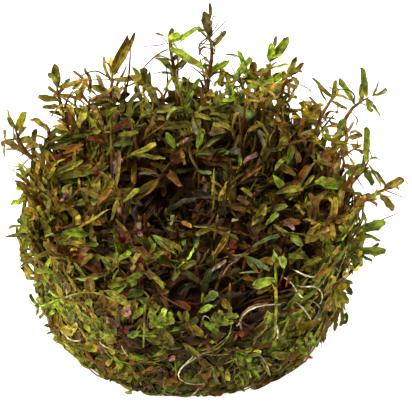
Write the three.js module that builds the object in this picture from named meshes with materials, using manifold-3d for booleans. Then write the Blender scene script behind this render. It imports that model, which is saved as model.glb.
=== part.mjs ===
// A clump of rotala, a red and green aquarium stem plant, as it leaves the clear cup that it grew in.
// The roots and the old lower growth are pressed into a round plug with a flat foot. Forty-odd leafy
// shoots stand in it: those at the rim are pressed flat against the cup's vanished wall, and the tall
// ones at the back and sides spread above it. Millimetres, +Z up, origin at the centre of the foot.
import * as THREE from "three";
import { mergeVertices } from "three/addons/utils/BufferGeometryUtils.js";
import Module from "manifold-3d";

const wasm = await Module();
wasm.setup();

// Driving dimensions
const FOOT_RADIUS = 33; // of the flat underside
const ROOT_MAT_HEIGHT = 2.6;
const CUP_RADIUS = 39.6; // inside of the cup's wall, which the outer leaves follow
const CUP_FOOT_RADIUS = 36.6; // the cup narrows to this at the bottom
const CUP_HEIGHT = 27; // above this the growth spreads freely
const GAP = 0.35; // between a shoot and the plug or its neighbour
const STEM_RADIUS = 0.75;
const STEM_SIDES = 4;
const OUTLINE_STEPS = 4; // straight stretches in an outline shoot's stem
const FILLING_STEPS = 3;
const STEM_SUNK = 2.4; // how deep a stem stands in the plug, less than one stretch
const LEAF_LENGTH = 10.5;
const LEAF_WIDTH = 2.3;
const LEAF_THICKNESS = 0.9;
const LEAF_RINGS = [0, 0.32, 0.7, 1]; // shares of a leaf's length where it has its corners
const PLAIN_LEAF_RINGS = [0, 0.42, 1]; // the same for the many leaves between the outline's
const LEAF_FLOOR = 1.2; // no leaf of a shoot hangs lower than this
const VIEW_TILT = (45 * Math.PI) / 180; // the picture looks down at the clump by this angle

// The plug's outline: radius and height, from the underside's centre round to the top's centre
const PLUG_OUTLINE = [
  [0, ROOT_MAT_HEIGHT + GAP],
  [34, ROOT_MAT_HEIGHT + GAP],
  [36, 6.5],
  [37.6, 13],
  [38, 19],
  [36, 23.6],
  [31, 26.4],
  [25, 30],
  [17, 31.8],
  [8, 31.4],
  [0, 31],
];
const PLUG_SHOULDER = 4; // where that list reaches the widest place, from which the plug's top begins
const PLUG_LEAN = 3; // how much higher the plug's top is at the front than at its middle
const LEAN_HEIGHTS = [8, 20]; // the lean sets in between these heights
const TOP_HEIGHTS = [24, 28]; // and the forms of the plug's top between these
const BACK_SWELL = { rise: 4, from: -4, to: 12 }; // of the dense growth behind the hollow, over these depths
const HOLLOW = { x: -5, y: 4, halfWidth: 13, halfDepth: 8, depth: 12 }; // the dark gap in the plug's top
const PLUG_SEGMENTS = 24; // a multiple of four
const PLUG_LUMP = 0.6; // how far the plug's skin swells and dips
const WALL_LEAVES = 46; // leaves pressed on the plug's side
const TOP_LEAVES = 60; // leaves that stand out of the plug's top
const SIMPLER = 0.03; // slivers smaller than this are dropped after a join

// What the camera's picture plane calls right, up and towards, in the part's frame
const RIGHT = new THREE.Vector3(1, 0, 0);
const UP = new THREE.Vector3(0, Math.sin(VIEW_TILT), Math.cos(VIEW_TILT));
const TOWARDS = new THREE.Vector3(0, -Math.cos(VIEW_TILT), Math.sin(VIEW_TILT));

// The shoots that draw the clump's outline. root is where the stem leaves the plug, [x, y]. stem holds the
// points that it passes, [right, up, y]: millimetres right of the foot's centre and up the picture, and
// the depth y. Each leaf is [share of the stem, right, up, towards, width]: how far its tip lies from
// where it grows, in the picture's directions.
const OUTLINE_SHOOTS = [
  {
    name: "shoot_far_left",
    root: [-29, 12],
    stem: [[-35.8, 31.5, 14], [-40, 34.5, 14], [-41.8, 40.2, 14]],
    leaves: [
      [1, -1.6, 3, 1, 1.4], [0.96, 2.8, 5, 1, 2.7], [0.8, 3.4, 0.8, 3, 2.3], [0.62, -5, 2.8, 1, 1.9],
      [0.45, -1, 5, 4, 1.8],
    ],
  },
  {
    name: "shoot_left",
    root: [-33, 3],
    stem: [[-37.5, 24, 6], [-39.2, 28.2, 6]],
    leaves: [
      [1, -5.6, 3.2, 0, 1], [1, -1.5, 4, 2, 1.6], [1, 1.6, 3, -2, 1.4], [0.8, -3, -1.4, 2, 1.5],
      [0.55, -5.6, -2.6, 2, 1.6],
    ],
  },
  {
    name: "shoot_left_low",
    root: [-33, -9],
    stem: [[-35.6, 11.6, -10], [-37.4, 15, -10]],
    leaves: [
      [1, -3, 3.4, 0, 1.6], [0.9, -6.4, -0.6, 1, 2], [0.75, -3, -3.6, 2, 1.9],
    ],
  },
  {
    name: "shoot_left_fork",
    root: [-23, 19],
    stem: [[-28.8, 37.8, 23], [-30.8, 44.8, 24], [-31.8, 51, 24]],
    leaves: [
      [0.97, -0.6, 6, 1, 2.5], [0.98, 8.6, 2, 2, 1.9], [0.8, -5.4, 1, 0, 2], [0.72, -4.4, -0.8, 2, 1.9],
      [0.7, 4.6, -1.6, 2, 1.6], [0.4, -4, 0.6, 2, 2.3],
    ],
  },
  {
    name: "shoot_tall_left",
    root: [-16.4, 26],
    stem: [[-18.4, 40, 30], [-19, 47.8, 31], [-18.2, 54, 31]],
    leaves: [
      [0.98, 3.8, 10.8, 0, 3], [0.98, 6, 11, 3, 1.4], [0.93, 7.4, 0.6, 2, 2], [0.93, -7.2, 0.2, 1, 1],
      [0.7, -5, 2, 2, 2.2], [0.6, 5, 1.8, 3, 2.2],
    ],
  },
  {
    name: "shoot_star",
    root: [-1.8, 30.6],
    stem: [[-1.6, 42.8, 33], [-2, 51.6, 34], [-4, 62, 34]],
    leaves: [
      [0.98, -8.6, -0.4, 0, 1], [0.98, -2.8, 3.2, -1, 1], [0.98, 0.8, 4.2, 0, 1.7],
      [0.98, 8, 4.2, 2, 1.9], [0.95, 8.4, -5.6, 3, 2.8], [0.68, -3.6, 2.6, 1, 1.9],
      [0.68, 3.6, 2.8, 2, 1.9],
    ],
  },
  {
    name: "shoot_crown",
    root: [5.6, 30.6],
    stem: [[5.2, 42.8, 34], [5.6, 52.8, 36], [7.2, 60, 36], [6, 64, 36]],
    leaves: [
      [0.98, -1.4, 6.4, 0, 2.3], [0.98, 0.2, 8.6, 1, 1.1], [0.86, 3.8, 4, 1, 1.9],
      [0.4, -7, 2.2, 3, 3.2], [0.6, 5, 3, 2, 1.8],
    ],
  },
  {
    name: "shoot_back_right",
    root: [14.6, 27],
    stem: [[15.4, 42.8, 31], [16.2, 53.6, 32]],
    leaves: [
      [0.97, -3, 7.4, 0, 1.7], [0.97, -7.4, 1.4, 1, 1.8], [0.97, 6, 3.2, 2, 1.9],
      [0.97, 1.6, 4.2, 3, 2.5], [0.78, -8.4, -4, 1, 1.8], [0.7, 5, -0.6, 3, 2],
    ],
  },
  {
    name: "shoot_pair",
    root: [20.6, 23],
    stem: [[21, 41.4, 29], [21.2, 57.4, 30]],
    leaves: [
      [0.98, 1.8, 7, -1, 1.5], [0.98, 4.6, 6.4, 1, 2.7], [0.98, 0, 4.8, 2, 2.3], [0.72, 4, 3, 3, 1.8],
      [0.68, -4, 2.6, 2, 1.9],
    ],
  },
  {
    name: "shoot_orange",
    root: [25.5, 16],
    stem: [[24.4, 41.4, 25], [23.4, 47.6, 26], [25.4, 53.4, 26]],
    leaves: [
      [0.98, 2.4, 5.6, 0, 2.1], [0.98, 4.4, 3.8, 2, 1.8], [0.9, 3.2, -1.2, 1, 1.5],
      [0.97, -8.4, -5.4, 4, 1.3], [0.6, 4.6, -1, 2, 1.6],
    ],
  },
  {
    name: "shoot_right_fan",
    root: [28, 13],
    stem: [[32.2, 37.6, 17], [33.4, 43.4, 18], [36.6, 48, 18]],
    leaves: [
      [0.98, -5.2, 5, 1, 1.7], [0.98, 1, 4.6, 0, 1.4], [0.95, 3.8, -2.4, 2, 1.6],
      [0.7, -4.6, 2, 2, 2.2], [0.55, -4, -1.6, 3, 2.1],
    ],
  },
  {
    name: "shoot_far_right",
    root: [31, 8],
    stem: [[37.4, 35.2, 12], [39, 42, 13], [40.4, 45.8, 14], [45, 47.8, 14]],
    leaves: [
      [0.86, -3.8, 7, 0, 1.9], [0.98, -1.2, 7.8, 0, 2.4], [0.98, 3.2, -4.8, 1, 1.3],
      [0.98, 1, -2.8, 2, 2.2], [0.72, -2.4, -3.6, 3, 2.2],
    ],
  },
  {
    name: "shoot_red_bud",
    root: [33.5, 3],
    stem: [[36.4, 31.4, 7], [38.4, 34.8, 8], [40.2, 38.2, 8]],
    leaves: [
      [0.98, 3.4, 0.4, 1, 2.3], [0.9, -0.8, -3.4, 3, 2.6], [0.9, -6, -2.6, 1, 1.9],
      [0.9, -5.6, 1.4, 2, 1.3], [0.6, -5, 1, 3, 2],
    ],
  },
  {
    name: "shoot_right_spear",
    root: [34.5, -2],
    stem: [[40, 26.4, 1], [43, 29, 2], [44.6, 32, 2]],
    leaves: [
      [0.98, -0.2, 9, 0, 2], [0.95, -4.8, -2.2, 2, 2.9], [0.9, 1.8, -4.4, 2, 2.8],
      [0.98, 4.8, -5.4, 0, 1.1], [0.6, -4, 3, 3, 2.2],
    ],
  },
  {
    name: "shoot_right_arm",
    root: [34.8, -7],
    stem: [[43, 22.6, -3], [49, 25.6, -2]],
    leaves: [
      [0.97, 4.8, 2.4, 0, 2.5], [0.9, 3.6, -4.6, 1, 2.2], [0.97, 6.2, -2.2, 0, 1],
      [0.7, -3, -3.4, 3, 2.4], [0.5, 1.4, 5, 2, 2],
    ],
  },
  {
    name: "shoot_right_green",
    root: [34.4, -12],
    stem: [[38.8, 14, -10], [42.6, 15.6, -9]],
    leaves: [
      [0.97, 6.6, 2, 0, 3], [0.97, 10.4, 4.4, -1, 1], [0.9, 6.2, -2.4, 1, 2], [0.6, -1, 5, 3, 2.2],
    ],
  },
  {
    name: "shoot_right_low",
    root: [32, -17.5],
    stem: [[37.4, 8.6, -14], [41, 10.6, -13]],
    leaves: [
      [0.97, 8.2, 0.2, 0, 2.5], [0.97, 5, -2.6, 2, 1.2], [0.9, 1.2, -4.6, 2, 3], [0.6, -3, 4, 3, 2.3],
    ],
  },
  {
    name: "shoot_corner",
    root: [27, -21.5],
    stem: [[34.2, 0.6, -23.5], [36.8, 2.2, -22.5]],
    leaves: [
      [0.97, 1, -5.2, 1, 2.7], [0.97, 3, -4.4, -1, 2.2], [0.9, 3.8, 1, 1, 2.9], [0.7, -2, 4.8, 2, 2.3],
    ],
  },
  {
    name: "shoot_big_leaf",
    root: [-13.8, 1.4],
    stem: [[-15.8, 22.8, 2.2], [-16.8, 25.6, 3.4]],
    leaves: [
      [0.97, 9.6, 5.2, 1, 3], [0.97, 0.2, 10, 0, 3], [0.97, -4.4, 4.4, 2, 2.2], [0.8, 6, -2.8, 3, 1.7],
      [0.8, -6, -2, 3, 2.4],
    ],
  },
];

// The shoots in between, in rings: how many, the ring's radius, the turns where it starts and ends, how far
// the stems lean out from upright, their length and how many pairs of leaves they carry.
const RINGS = [
  { name: "shoot_front", count: 9, radius: 33.6, from: -155, to: -42, lean: 6, length: 7.5, pairs: 3 },
  { name: "shoot_front_inner", count: 6, radius: 26, from: -170, to: -20, lean: 14, length: 6.5, pairs: 3 },
  { name: "shoot_middle", count: 5, radius: 15, from: -180, to: -5, lean: 10, length: 6.5, pairs: 3 },
  { name: "shoot_back_inner", count: 6, radius: 21, from: 15, to: 165, lean: 14, length: 10, pairs: 3 },
];
const LEAF_TURNS = [0, 28, -28, 55, -55, 80, -80]; // degrees that a leaf may swing to find room
const LEAF_SLIDES = [0, 2, -2, 4, -4, 6, 8]; // millimetres that an outline leaf may move in depth

// Numbers from 0 to 1 in a fixed order, so the clump is the same each time.
function numbersFrom(seed) {
  let state = seed >>> 0;
  return () => {
    state = (Math.imul(state, 1664525) + 1013904223) >>> 0;
    return state / 4294967296;
  };
}

const GOLDEN = (3 - Math.sqrt(5)) / 2; // a share of a turn that spreads places evenly
const polar = (radius, turn, z) => new THREE.Vector3(radius * Math.cos(turn), radius * Math.sin(turn), z);
const { clamp, degToRad, lerp, smoothstep } = THREE.MathUtils;
const cupRadius = (z) => lerp(CUP_FOOT_RADIUS, CUP_RADIUS, clamp(z / CUP_HEIGHT, 0, 1));

// How far a place in the plug is raised: by its lean to the front and its swell at the back, less the hollow.
function raisedBy(x, y, z) {
  const lean = (-y / CUP_RADIUS) * PLUG_LEAN * smoothstep(z, ...LEAN_HEIGHTS);
  const swell = BACK_SWELL.rise * smoothstep(y, BACK_SWELL.from, BACK_SWELL.to);
  const fromHollow = Math.hypot((x - HOLLOW.x) / HOLLOW.halfWidth, (y - HOLLOW.y) / HOLLOW.halfDepth);
  const sunk = HOLLOW.depth * Math.exp(-fromHollow * fromHollow);
  return lean + (swell - sunk) * smoothstep(z, ...TOP_HEIGHTS);
}

// The height of the plug's top at a place on it, between two rings of its corners.
function plugTop(x, y) {
  const out = Math.hypot(x, y);
  const top = PLUG_OUTLINE.slice(PLUG_SHOULDER).reverse();
  const after = Math.max(top.findIndex(([radius]) => radius >= out), 1);
  const rings = [top[after - 1], top[after]];
  const [z0, z1] = rings.map(([radius, z]) => {
    const share = radius / Math.max(out, 1e-6);
    return z + (radius > 0 ? raisedBy(x * share, y * share, z) : raisedBy(0, 0, z));
  });
  return lerp(z0, z1, (out - rings[0][0]) / (rings[1][0] - rings[0][0]));
}

// The plug's radius at a height of its side.
function plugWall(z) {
  const side = PLUG_OUTLINE.slice(1, -2);
  const above = Math.max(side.findIndex(([, height]) => height >= z), 1);
  const [[r0, z0], [r1, z1]] = [side[above - 1], side[above]];
  return lerp(r0, r1, (z - z0) / (z1 - z0));
}

// A place given as the picture shows it, with its depth y.
const seen = (right, up, y) =>
  new THREE.Vector3(right, y, (up - y * Math.sin(VIEW_TILT)) / Math.cos(VIEW_TILT));

function solidFrom(geometry) {
  const bare = geometry.index ? geometry.toNonIndexed() : geometry;
  const positions = new THREE.BufferGeometry().setAttribute("position", bare.getAttribute("position"));
  const merged = mergeVertices(positions, 1e-4);
  return new wasm.Manifold(new wasm.Mesh({
    numProp: 3,
    vertProperties: new Float32Array(merged.attributes.position.array),
    triVerts: new Uint32Array(merged.index.array),
  }));
}

function geometryFrom(solid) {
  const mesh = solid.getMesh();
  const geometry = new THREE.BufferGeometry();
  geometry.setAttribute("position", new THREE.BufferAttribute(new Float32Array(mesh.vertProperties), 3));
  geometry.setIndex(new THREE.BufferAttribute(new Uint32Array(mesh.triVerts), 1));
  geometry.computeVertexNormals();
  return geometry;
}

// A closed rod along a curve, in a number of straight stretches.
function rod(extrudePath, steps, radius) {
  const corner = (i) => polar(radius, (2 * Math.PI * i) / STEM_SIDES, 0);
  const section = new THREE.Shape(Array.from({ length: STEM_SIDES }, (_, i) => corner(i)));
  return solidFrom(new THREE.ExtrudeGeometry(section, { steps, extrudePath, bevelEnabled: false }));
}

// The place on a stem's axis at a share of its length, on the straight stretches.
function onStem({ curve, steps }, share) {
  const points = curve.getSpacedPoints(steps);
  const stretch = Math.min(Math.floor(share * steps), steps - 1);
  return points[stretch].clone().lerp(points[stretch + 1], share * steps - stretch);
}

// The line down the middle of a leaf: a chord from its base to its tip that bows upwards, kept inside the
// cup's wall when the shoot is pressed against it.
function leafLine(base, chord, bow, pressed) {
  return (share) => {
    const point = base.clone().addScaledVector(chord, share);
    point.z += 4 * bow * share * (1 - share);
    const out = Math.hypot(point.x, point.y);
    const wall = cupRadius(point.z);
    if (pressed && point.z < CUP_HEIGHT && out > wall) {
      point.x *= wall / out;
      point.y *= wall / out;
    }
    return point;
  };
}

// Half of a leaf's width at a share of its length.
const leafHalfWidth = (share, width) =>
  (width / 2) * Math.min(1, 1.15 * Math.sin(Math.PI * Math.pow(share, 0.85)));

// A lance-shaped leaf along a line: three-sided, flat on the side that faces the given way and keeled on
// the other, broadest a third along.
function leafSolid(line, width, facing, rings = PLAIN_LEAF_RINGS) {
  const profile = rings.map((share) => new THREE.Vector2(Math.abs(leafHalfWidth(share, width)), share));
  profile[0].x = 0;
  profile[profile.length - 1].x = 0;
  const geometry = new THREE.LatheGeometry(profile, 3);
  const position = geometry.getAttribute("position");
  for (let i = 0; i < position.count; i++) {
    const [x, share, z] = [position.getX(i), position.getY(i), position.getZ(i)];
    const forward = line(Math.min(share + 0.05, 1)).sub(line(Math.max(share - 0.05, 0))).normalize();
    const side = new THREE.Vector3().crossVectors(facing, forward).normalize();
    const keel = new THREE.Vector3().crossVectors(side, forward);
    const depth = (z / Math.max(Math.hypot(x, z), 1e-9)) * (LEAF_THICKNESS / 1.5);
    const point = line(share).addScaledVector(side, x / Math.cos(Math.PI / 6)).addScaledVector(keel, depth);
    position.setXYZ(i, point.x, point.y, point.z);
  }
  return solidFrom(geometry);
}

// The space already taken, as round-ended rods, each with the name of the shoot that it belongs to.
const taken = [];

// How near two straight stretches come to each other.
function distanceBetween(a0, a1, b0, b1) {
  const u = a1.clone().sub(a0);
  const v = b1.clone().sub(b0);
  const w = a0.clone().sub(b0);
  const [uu, uv, vv, uw, vw] = [u.dot(u), u.dot(v), v.dot(v), u.dot(w), v.dot(w)];
  const within = (x) => clamp(x, 0, 1);
  const flat = uu * vv - uv * uv;
  let s = flat > 1e-9 ? within((uv * vw - vv * uw) / flat) : 0;
  const t = within((uv * s + vw) / Math.max(vv, 1e-9));
  s = within((uv * t - uw) / Math.max(uu, 1e-9));
  return w.addScaledVector(u, s).addScaledVector(v, -t).length();
}

function rodsAlong(line, halfWidth, from, steps, owner) {
  return Array.from({ length: steps }, (_, i) => {
    const [s0, s1] = [lerp(from, 1, i / steps), lerp(from, 1, (i + 1) / steps)];
    const radius = Math.max(halfWidth(s0), halfWidth(s1), LEAF_THICKNESS / 2);
    return { a: line(s0), b: line(s1), radius, owner };
  });
}

const hasRoom = (rods) => rods.every((rod1) => taken.every((rod2) => rod1.owner === rod2.owner
  || distanceBetween(rod1.a, rod1.b, rod2.a, rod2.b) > rod1.radius + rod2.radius + GAP));

// True where every stretch of a leaf is clear of the plug and the ground.
const clearOfPlug = (rods) => rods.every(({ a, b, radius }) => [a, b].every((point) => {
  const out = Math.hypot(point.x, point.y);
  const room = PLUG_LUMP + GAP + radius;
  const beside = out > plugWall(Math.min(point.z, 19)) + room;
  const above = out < CUP_RADIUS && point.z > plugTop(point.x * 0.96, point.y * 0.96) + room;
  return point.z > LEAF_FLOOR && (beside || above);
}));

// The curve of a stem that starts down in the plug at its root and passes the given points.
function stemCurve(root, points) {
  const out = Math.hypot(...root);
  const start = new THREE.Vector3(...root, plugTop(...root) + 0.5);
  const lean = points[0].clone().sub(start).normalize();
  const inward = new THREE.Vector3(-root[0], -root[1], 0).multiplyScalar(0.25 / Math.max(out, 1));
  const down = lean.clone().multiplyScalar(-0.5).add(inward).add(new THREE.Vector3(0, 0, -0.9)).normalize();
  return new THREE.CatmullRomCurve3([start.clone().addScaledVector(down, STEM_SUNK), start, ...points]);
}

const stemRods = (stem, name) =>
  rodsAlong((share) => onStem(stem, share), () => STEM_RADIUS, 0, stem.steps, name);

// A stem that has its place and waits for its leaves.
function startShoot(name, stem) {
  taken.push(...stemRods(stem, name));
  return { name, stem, leaves: [] };
}

function growLeaf(shoot, share, chord, width, bow, pressed) {
  const base = onStem(shoot.stem, Math.min(share, 0.98));
  const line = leafLine(base, chord, bow, pressed);
  const rods = rodsAlong(line, (s) => leafHalfWidth(s, width), 0.14, 5, shoot.name);
  if (!hasRoom(rods) || !clearOfPlug(rods)) return false;
  const tangent = shoot.stem.curve.getTangentAt(share);
  const forward = chord.clone().normalize();
  const facing = tangent.addScaledVector(forward, -tangent.dot(forward));
  if (facing.length() < 0.2) facing.copy(TOWARDS).addScaledVector(forward, -TOWARDS.dot(forward));
  taken.push(...rods);
  const rings = pressed ? PLAIN_LEAF_RINGS : LEAF_RINGS;
  shoot.leaves.push(leafSolid(line, width, facing.normalize(), rings));
  return true;
}

// A leaf of an outline shoot keeps its place in the picture and may slide in depth to find room.
function growSeenLeaf(shoot, [share, right, up, towards, width]) {
  const chord = (slide) => new THREE.Vector3()
    .addScaledVector(RIGHT, right).addScaledVector(UP, up).addScaledVector(TOWARDS, towards + slide);
  const bow = 0.08 * Math.hypot(right, up);
  return LEAF_SLIDES.some((slide) => growLeaf(shoot, share, chord(slide), width, bow, false));
}

// A pair of opposite leaves of a filling shoot. Each may swing round the stem, or be shorter, to find room.
function growPair(shoot, share, turn, next) {
  const tangent = shoot.stem.curve.getTangentAt(share);
  const across = new THREE.Vector3(0, 0, 1).cross(tangent);
  if (across.length() < 0.05) across.set(1, 0, 0);
  across.normalize();
  const splay = degToRad(lerp(64, 26, share)) + degToRad(12) * (next() - 0.5);
  for (const half of [0, 180]) {
    const length = LEAF_LENGTH * (0.75 + 0.35 * next());
    const width = LEAF_WIDTH * (0.8 + 0.4 * next());
    [1, 0.8, 0.6].some((size) => LEAF_TURNS.some((swing) => {
      const aside = across.clone().applyAxisAngle(tangent, turn + degToRad(half + swing));
      const chord = tangent.clone().multiplyScalar(Math.cos(splay)).addScaledVector(aside, Math.sin(splay));
      return growLeaf(shoot, share, chord.multiplyScalar(length * size), width, 0.1 * length, true);
    }));
  }
}

// A filling shoot's stem, leaning outwards, or none if no lean finds room.
function fillingStem(ring, index, next) {
  const { name, count, radius, from, to, lean, length } = ring;
  const turn = degToRad(from + ((to - from) * (index + 0.5)) / count + 8 * (next() - 0.5));
  const out = Math.min(radius + 5 * (next() - 0.5), 35);
  const tall = length * (0.8 + 0.4 * next());
  const label = `${name}_${index + 1}`;
  for (let attempt = 0; attempt < 40; attempt++) {
    const side = degToRad(40 * (next() - 0.5));
    const tilt = degToRad(lean + 26 * (next() - 0.5));
    const root = polar(out, turn, 0);
    const away = polar(1, turn + side, 0);
    const reach = (share) => {
      const point = root.clone().setZ(plugTop(root.x, root.y) + tall * share * Math.cos(tilt));
      return point.addScaledVector(away, tall * share * Math.sin(tilt) * (0.6 + 0.4 * share));
    };
    const points = [reach(0.5), reach(1)].map((point) => {
      const most = (cupRadius(point.z) - STEM_RADIUS) / Math.hypot(point.x, point.y);
      return most < 1 && point.z < CUP_HEIGHT ? point.multiply(new THREE.Vector3(most, most, 1)) : point;
    });
    const stem = { curve: stemCurve([root.x, root.y], points), steps: FILLING_STEPS };
    if (hasRoom(stemRods(stem, label))) return startShoot(label, stem);
  }
  return null;
}

function growShoots() {
  const outline = OUTLINE_SHOOTS.map(({ name, root, stem }) => {
    const curve = stemCurve(root, stem.map((point) => seen(...point)));
    return startShoot(name, { curve, steps: OUTLINE_STEPS });
  });
  const filling = RINGS.map((ring, r) => {
    const next = numbersFrom(101 + 17 * r);
    const stems = Array.from({ length: ring.count }, (_, i) => fillingStem(ring, i, next));
    return { ring, next, stems: stems.filter(Boolean) };
  });
  outline.forEach((shoot, i) => OUTLINE_SHOOTS[i].leaves.forEach((leaf) => growSeenLeaf(shoot, leaf)));
  for (const { ring, next, stems } of filling) {
    for (const shoot of stems) {
      const start = 2 * Math.PI * next();
      for (let i = 0; i < ring.pairs; i++) {
        const share = lerp(0.42, 0.97, i / (ring.pairs - 1));
        growPair(shoot, share, start + (i * Math.PI) / 2, next);
      }
    }
  }
  return [...outline, ...filling.flatMap(({ stems }) => stems)];
}

// The turn of a corner of a lathed solid, the same on both sides of its seam.
function turnOf(x, y) {
  const step = (2 * Math.PI) / PLUG_SEGMENTS;
  return Math.round(Math.atan2(y, x) / step) * step;
}

// The lumpy plug of old stems and leaves, before the shoots' sockets are cut.
function plugBody() {
  const profile = PLUG_OUTLINE.map(([radius, height]) => new THREE.Vector2(radius, height));
  const geometry = new THREE.LatheGeometry(profile, PLUG_SEGMENTS);
  geometry.rotateX(Math.PI / 2);
  const position = geometry.getAttribute("position");
  for (let i = 0; i < position.count; i++) {
    const [x, y, z] = [position.getX(i), position.getY(i), position.getZ(i)];
    const turn = turnOf(x, y);
    const swell = PLUG_LUMP * Math.sin(7 * turn + 0.9 * z) * Math.sin(4 * turn - 0.5 * z + 1);
    const out = Math.hypot(x, y);
    const grown = out > 1 ? (out + swell) / out : 1;
    const isUnderside = z < ROOT_MAT_HEIGHT + GAP + 0.01;
    const lift = isUnderside || out < 1 ? 0 : swell * 0.6;
    position.setXYZ(i, x * grown, y * grown, z + lift + raisedBy(x, y, z));
  }
  return solidFrom(geometry);
}

// A leaf that grows out of the plug, or none where a shoot is in its way.
function plugLeaf(line, width, facing) {
  const rods = rodsAlong(line, (share) => leafHalfWidth(share, width), 0, 5, "leaf_mat");
  return hasRoom(rods) ? [leafSolid(line, width, facing)] : [];
}

// The leaves pressed on the plug's side, sloping every way.
function wallLeaves() {
  const next = numbersFrom(7);
  return Array.from({ length: WALL_LEAVES }, (_, i) => {
    const turn = (2 * Math.PI * (i * GOLDEN + 0.02 * next())) % (2 * Math.PI);
    const height = lerp(7, 20, (i + 0.5) / WALL_LEAVES);
    const slope = degToRad(150 * (next() - 0.5));
    const length = LEAF_LENGTH * (0.8 + 0.4 * next());
    const line = (share) => {
      const along = (share - 0.5) * length;
      const z = clamp(height + along * Math.sin(slope), 5.2, 22);
      const radius = plugWall(z) - 0.8 + 2.6 * share;
      return polar(radius, turn + (along * Math.cos(slope)) / radius, z);
    };
    return plugLeaf(line, LEAF_WIDTH * (1 + 0.3 * next()), polar(1, turn, 0));
  }).flat();
}

// The leaves that stand out of the plug's top, steeper towards the middle. Each tries a few ways to point.
function topLeaves() {
  const next = numbersFrom(11);
  const grow = (i) => {
    const turn = 2 * Math.PI * i * GOLDEN;
    const out = 36.5 * Math.sqrt((i + 0.5) / TOP_LEAVES);
    const away = turn + degToRad(280 * (next() - 0.5));
    const rise = degToRad(lerp(50, 12, out / 36.5) + 30 * next());
    const length = LEAF_LENGTH * (0.8 + 0.4 * next());
    const chord = polar(Math.cos(rise), away, Math.sin(rise)).multiplyScalar(length);
    const base = polar(out, turn, 0);
    const line = leafLine(base.setZ(plugTop(base.x, base.y) - 1), chord, 1, true);
    return plugLeaf(line, LEAF_WIDTH * (1 + 0.4 * next()), new THREE.Vector3(0, 0, 1));
  };
  return Array.from({ length: TOP_LEAVES }, (_, i) => {
    for (let attempt = 0; attempt < 8; attempt++) {
      const leaf = grow(i);
      if (leaf.length) return leaf;
    }
    return [];
  }).flat();
}

// The thin round mat of roots under the plug, with a slightly wavy edge and a flat underside.
function rootMat() {
  const side = [[0, 0], [FOOT_RADIUS - 0.8, 0], [FOOT_RADIUS, 0.8], [FOOT_RADIUS + 0.6, ROOT_MAT_HEIGHT]];
  const outline = [...side, [0, ROOT_MAT_HEIGHT]].map(([radius, z]) => new THREE.Vector2(radius, z));
  const geometry = new THREE.LatheGeometry(outline, PLUG_SEGMENTS);
  geometry.rotateX(Math.PI / 2);
  const position = geometry.getAttribute("position");
  for (let i = 0; i < position.count; i++) {
    const [x, y] = [position.getX(i), position.getY(i)];
    const turn = turnOf(x, y);
    const grown = 1 + 0.012 * Math.sin(5 * turn + 1) * Math.sin(3 * turn);
    position.setXYZ(i, x * grown, y * grown, position.getZ(i));
  }
  return solidFrom(geometry);
}

// The straight hole in the plug that a stem's first stretch stands in.
function socketFor({ curve, steps }) {
  const [foot, above] = curve.getSpacedPoints(steps);
  const along = above.clone().sub(foot);
  const longer = (length) => along.clone().setLength(length);
  const path = new THREE.LineCurve3(foot.clone().sub(longer(GAP)), above.clone().add(longer(GAP)));
  return rod(path, 1, (STEM_RADIUS + GAP) / Math.cos(Math.PI / STEM_SIDES));
}

// The largest body of a solid, without the crumbs that cutting left.
const largestBody = (solid) => solid.decompose().sort((a, b) => b.volume() - a.volume())[0];

const LEAF_GREEN = 0x6f7a22;
const LEAF_OLIVE = 0x7d6a26;
const PLUG_BROWN = 0x4a3f1c;
const ROOT_PALE = 0x9a8f62;

function build() {
  const group = new THREE.Group();
  const add = (name, solid, color) => {
    const material = new THREE.MeshStandardMaterial({ color, roughness: 0.55, metalness: 0 });
    const mesh = new THREE.Mesh(geometryFrom(solid), material);
    mesh.name = name;
    group.add(mesh);
  };
  const shoots = growShoots();
  const sockets = shoots.map(({ stem }) => socketFor(stem));
  const leaves = [...wallLeaves(), ...topLeaves()];
  const plug = wasm.Manifold.union([plugBody(), ...leaves]).subtract(wasm.Manifold.union(sockets));
  add("root_mat", rootMat(), ROOT_PALE);
  add("leaf_mat", largestBody(plug).simplify(SIMPLER), PLUG_BROWN);
  shoots.forEach(({ name, stem, leaves }, i) => {
    const shoot = wasm.Manifold.union([rod(stem.curve, stem.steps, STEM_RADIUS), ...leaves]);
    add(name, shoot.simplify(SIMPLER), i % 3 ? LEAF_GREEN : LEAF_OLIVE);
  });
  return group;
}

export default build();
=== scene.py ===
import math

import bmesh
import bpy
import numpy as np
from mathutils import Matrix, Vector, noise


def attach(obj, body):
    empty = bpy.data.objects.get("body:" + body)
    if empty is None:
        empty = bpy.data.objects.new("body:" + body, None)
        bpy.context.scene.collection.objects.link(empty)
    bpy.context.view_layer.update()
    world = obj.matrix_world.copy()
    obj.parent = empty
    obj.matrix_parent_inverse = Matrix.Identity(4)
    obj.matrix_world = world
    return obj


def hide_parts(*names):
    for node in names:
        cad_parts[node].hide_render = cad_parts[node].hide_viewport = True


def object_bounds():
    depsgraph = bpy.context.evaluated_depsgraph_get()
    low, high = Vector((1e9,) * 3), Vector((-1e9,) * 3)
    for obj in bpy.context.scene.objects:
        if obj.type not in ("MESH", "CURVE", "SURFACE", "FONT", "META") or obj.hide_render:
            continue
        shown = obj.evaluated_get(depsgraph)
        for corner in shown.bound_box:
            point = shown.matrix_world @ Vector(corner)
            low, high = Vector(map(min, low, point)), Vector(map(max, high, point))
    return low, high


# A clump of rotala, a red and green aquarium stem plant, as it leaves the clear cup that it grew in.
# Lengths are in millimetres until a mesh is made, in the frame of the solids: +Z up, the photographed
# side towards -Y, the origin at the centre of the flat foot.
MM = 0.001
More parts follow.
